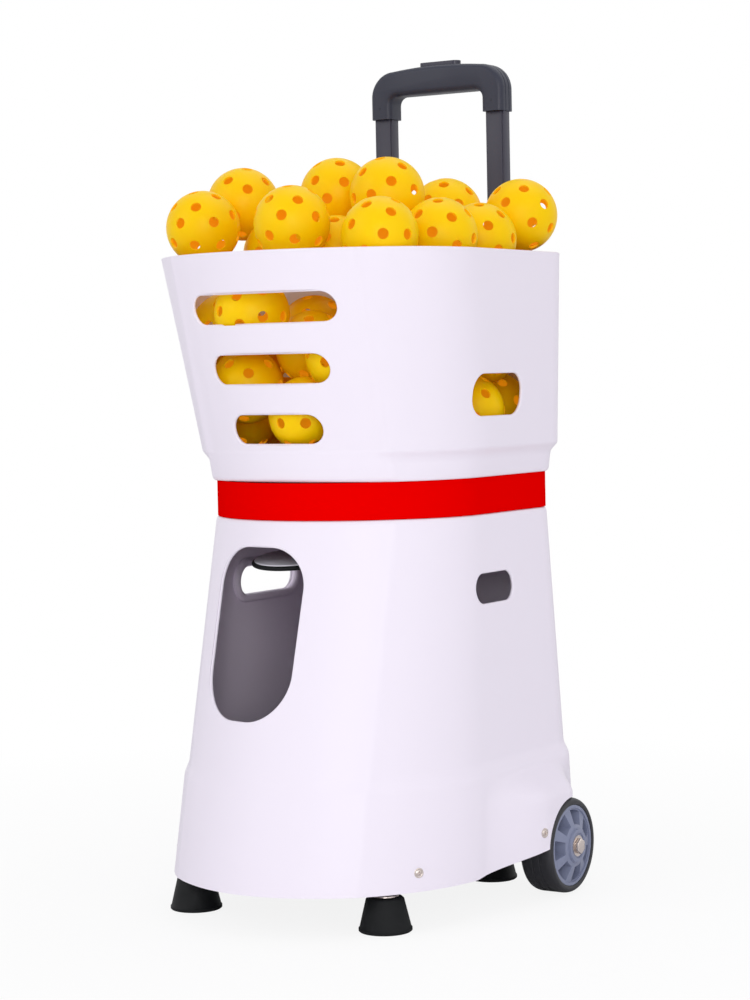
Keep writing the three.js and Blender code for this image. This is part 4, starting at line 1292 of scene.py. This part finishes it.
def clear(x, y, z, heap):
    section = hopper_front(min(z, HOPPER_RIM["z"]))
    for edge_x, edge_y in circle(BALL_RADIUS, RIM_POINTS):
        if not inside(section, x + edge_x, y + edge_y):
            return False
    place = Vector((x, y + SHIFT_Y, z))
    return all((place - other).length > TOUCH - LOAD_SQUEEZE for other in heap)


ROTOR_MIDDLE = middle("feed_rotor")
FLOOR_MOUTH = 102
FLOOR_REST_Z = extent("hopper_floor")[0].z + SHELL_WALL + BALL_RADIUS


def rest_height(x, y, places):
    """Where a ball dropped at x, y comes to rest on the funnel floor or on other balls."""
    reach = hypot(x - ROTOR_MIDDLE.x, y + SHIFT_Y - ROTOR_MIDDLE.y)
    z = FLOOR_REST_Z + LOAD_LIFT + FLOOR_SLOPE * max(reach - FLOOR_MOUTH, 0)
    z += CONE_LIFT * max(1 - reach / CONE_REACH, 0)
    for other in places:
        apart = (x - other.x) ** 2 + (y + SHIFT_Y - other.y) ** 2
        if apart < TOUCH ** 2:
            z = max(z, other.z + sqrt(TOUCH ** 2 - apart))
    return z


def load_places(heap):
    """Balls dropped one by one, each where it comes to rest lowest and nearest the wall."""
    pick = random.Random(LOAD_SEED)
    places = []
    for _ in range(LOAD_COUNT):
        best = None
        for _ in range(LOAD_TRIES):
            x = pick.uniform(*LOAD_SPAN_X)
            y = pick.uniform(*LOAD_SPAN_Y)
            z = rest_height(x, y, places)
            score = z - OUTWARD * hypot(x, y)
            if z < LOAD_TOP_Z and (best is None or score < best[0]) and clear(x, y, z, heap):
                best = (score, Vector((x, y + SHIFT_Y, z)))
        if best is None:
            break
        places.append(best[1])
    return places


HEAP_COUNT = 16
TURN_SEED = 11
TURN_LIMITS = (6.28, 3.14)


def balls():
    pattern = ball_mesh()
    turns = random.Random(TURN_SEED)

    def add(name, place, nodes=()):
        mesh = pattern.copy()
        around, over = [turns.uniform(0, limit) for limit in TURN_LIMITS]
        spin = Matrix.Rotation(around, 4, "Z") @ Matrix.Rotation(over, 4, "X")
        mesh.transform(Matrix.Translation(place * MM) @ spin)
        ball = link(name, mesh)
        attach(ball, "body")
        if nodes:
            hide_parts(*nodes)

    heap = []
    for i in range(1, HEAP_COUNT + 1):
        place = middle(f"ball_{i}")
        heap.append(place)
        add(f"heap_ball_{i}", place, [f"ball_{i}"])
    for i, place in enumerate(load_places(heap)):
        add(f"load_ball_{i}", place)


# Stage, light and camera

FLOOR_REACH = 6000
FLOOR_ROUGHNESS = 0.7
FLOOR_GREY = (0.9, 0.9, 0.9, 1)
# Seen by the camera, the floor glows white, a little less near the machine
FADE = dict(From_Min=0.3, From_Max=1.1, To_Min=0.87, To_Max=1)
WHITE = (1, 1, 1, 1)
SKY_TINT = (0.95, 0.95, 1, 1)
SKY_STRENGTH = 0.56


def mixed(nodes, links, share, first, second, output):
    mix = add_node(nodes, "MixShader")
    links.new(share, mix.inputs["Fac"])
    links.new(first, mix.inputs[1])
    links.new(second, mix.inputs[2])
    links.new(mix.outputs["Shader"], nodes[output].inputs["Surface"])


def floor():
    r = FLOOR_REACH
    ground = make("floor", [(-r, -r, 0), (r, -r, 0), (r, r, 0), (-r, r, 0)], [(0, 1, 2, 3)])
    material = bpy.data.materials.new("floor")
    material.use_nodes = True
    nodes, links = material.node_tree.nodes, material.node_tree.links
    shader = nodes["Principled BSDF"]
    shader.inputs["Base Color"].default_value = FLOOR_GREY
    shader.inputs["Roughness"].default_value = FLOOR_ROUGHNESS
    glow = add_node(nodes, "Emission", Color=WHITE)
    path = add_node(nodes, "LightPath")
    place = add_node(nodes, "TexCoord")
    reach = add_node(nodes, "VectorMath", "LENGTH")
    fade = add_node(nodes, "MapRange", **FADE)
    share = add_node(nodes, "Math", "MULTIPLY")
    links.new(place.outputs["Object"], reach.inputs[0])
    links.new(reach.outputs["Value"], fade.inputs["Value"])
    links.new(path.outputs["Is Camera Ray"], share.inputs[0])
    links.new(fade.outputs["Result"], share.inputs[1])
    surfaces = (shader.outputs["BSDF"], glow.outputs["Emission"])
    mixed(nodes, links, share.outputs[0], *surfaces, "Material Output")
    ground.data.materials.append(material)


def sky():
    """White where the camera or a reflection sees it, softer and bluer where it lights."""
    world = bpy.data.worlds.new("studio")
    bpy.context.scene.world = world
    world.use_nodes = True
    nodes, links = world.node_tree.nodes, world.node_tree.links
    seen = nodes["Background"]
    seen.inputs["Color"].default_value = WHITE
    seen.inputs["Strength"].default_value = 1
    lit = add_node(nodes, "Background", Color=SKY_TINT, Strength=SKY_STRENGTH)
    path = add_node(nodes, "LightPath")
    either = add_node(nodes, "Math", "MAXIMUM")
    links.new(path.outputs["Is Camera Ray"], either.inputs[0])
    links.new(path.outputs["Is Glossy Ray"], either.inputs[1])
    surfaces = (lit.outputs["Background"], seen.outputs["Background"])
    mixed(nodes, links, either.outputs[0], *surfaces, "World Output")


def lamp(name, place, target, size, power):
    data = bpy.data.lights.new(name, "AREA")
    data.shape = "RECTANGLE"
    data.size = size[0]
    data.size_y = size[1]
    data.energy = power
    light = link(name, data)
    light.location = place
    way = Vector(target) - Vector(place)
    light.rotation_euler = way.to_track_quat("-Z", "Y").to_euler()


CAMERA_PLACE = Vector((1368.0, -2129.65, 533.4))
CAMERA_YAW = radians(32.3)
CAMERA_PITCH = radians(-3.02)
CAMERA_ROLL = radians(-1.17)
FOCAL_PIXELS = 2509
PHOTO_HEIGHT = 1000
SENSOR = 36
CLIP_END = 50


def camera():
    forward = Vector((
        -sin(CAMERA_YAW) * cos(CAMERA_PITCH),
        cos(CAMERA_YAW) * cos(CAMERA_PITCH),
        sin(CAMERA_PITCH),
    ))
    right = forward.cross(Vector((0, 0, 1))).normalized()
    up = right.cross(forward)
    turned_right = right * cos(CAMERA_ROLL) + up * sin(CAMERA_ROLL)
    turned_up = up * cos(CAMERA_ROLL) - right * sin(CAMERA_ROLL)
    data = bpy.data.cameras.new("camera")
    data.sensor_width = SENSOR
    data.lens = FOCAL_PIXELS / PHOTO_HEIGHT * SENSOR
    data.clip_end = CLIP_END
    eye = link("camera", data)
    turn = Matrix((turned_right, turned_up, -forward)).transposed()
    place = (CAMERA_PLACE + Vector((0, SHIFT_Y, 0))) * MM
    eye.matrix_world = Matrix.Translation(place) @ turn.to_4x4()
    bpy.context.scene.camera = eye


AIM = (0, 0, 0.42)
LAMPS = (
    ("key", (-1.6, -2.6, 2.1), (2.2, 2.2), 19),
    ("front", (2.0, -3.0, 1.2), (1.6, 1.6), 37),
    ("side", (2.8, -0.9, 1.5), (1.8, 2.2), 9),
    ("top", (0.2, 0.6, 2.8), (2.0, 2.0), 13),
)

camera()
floor()
sky()
for name, place, size, power in LAMPS:
    lamp(name, place, AIM, size, power)
housing()
lining()
hopper()
band()
for piece in INNER_PIECES:
    dressed(*piece)
visor_edge()
for piece in REAR_CONTROLS:
    dressed(*piece)
feet()
road_wheels()
handle()
side_screws()
balls()

bpy.context.scene.view_settings.view_transform = "Standard"
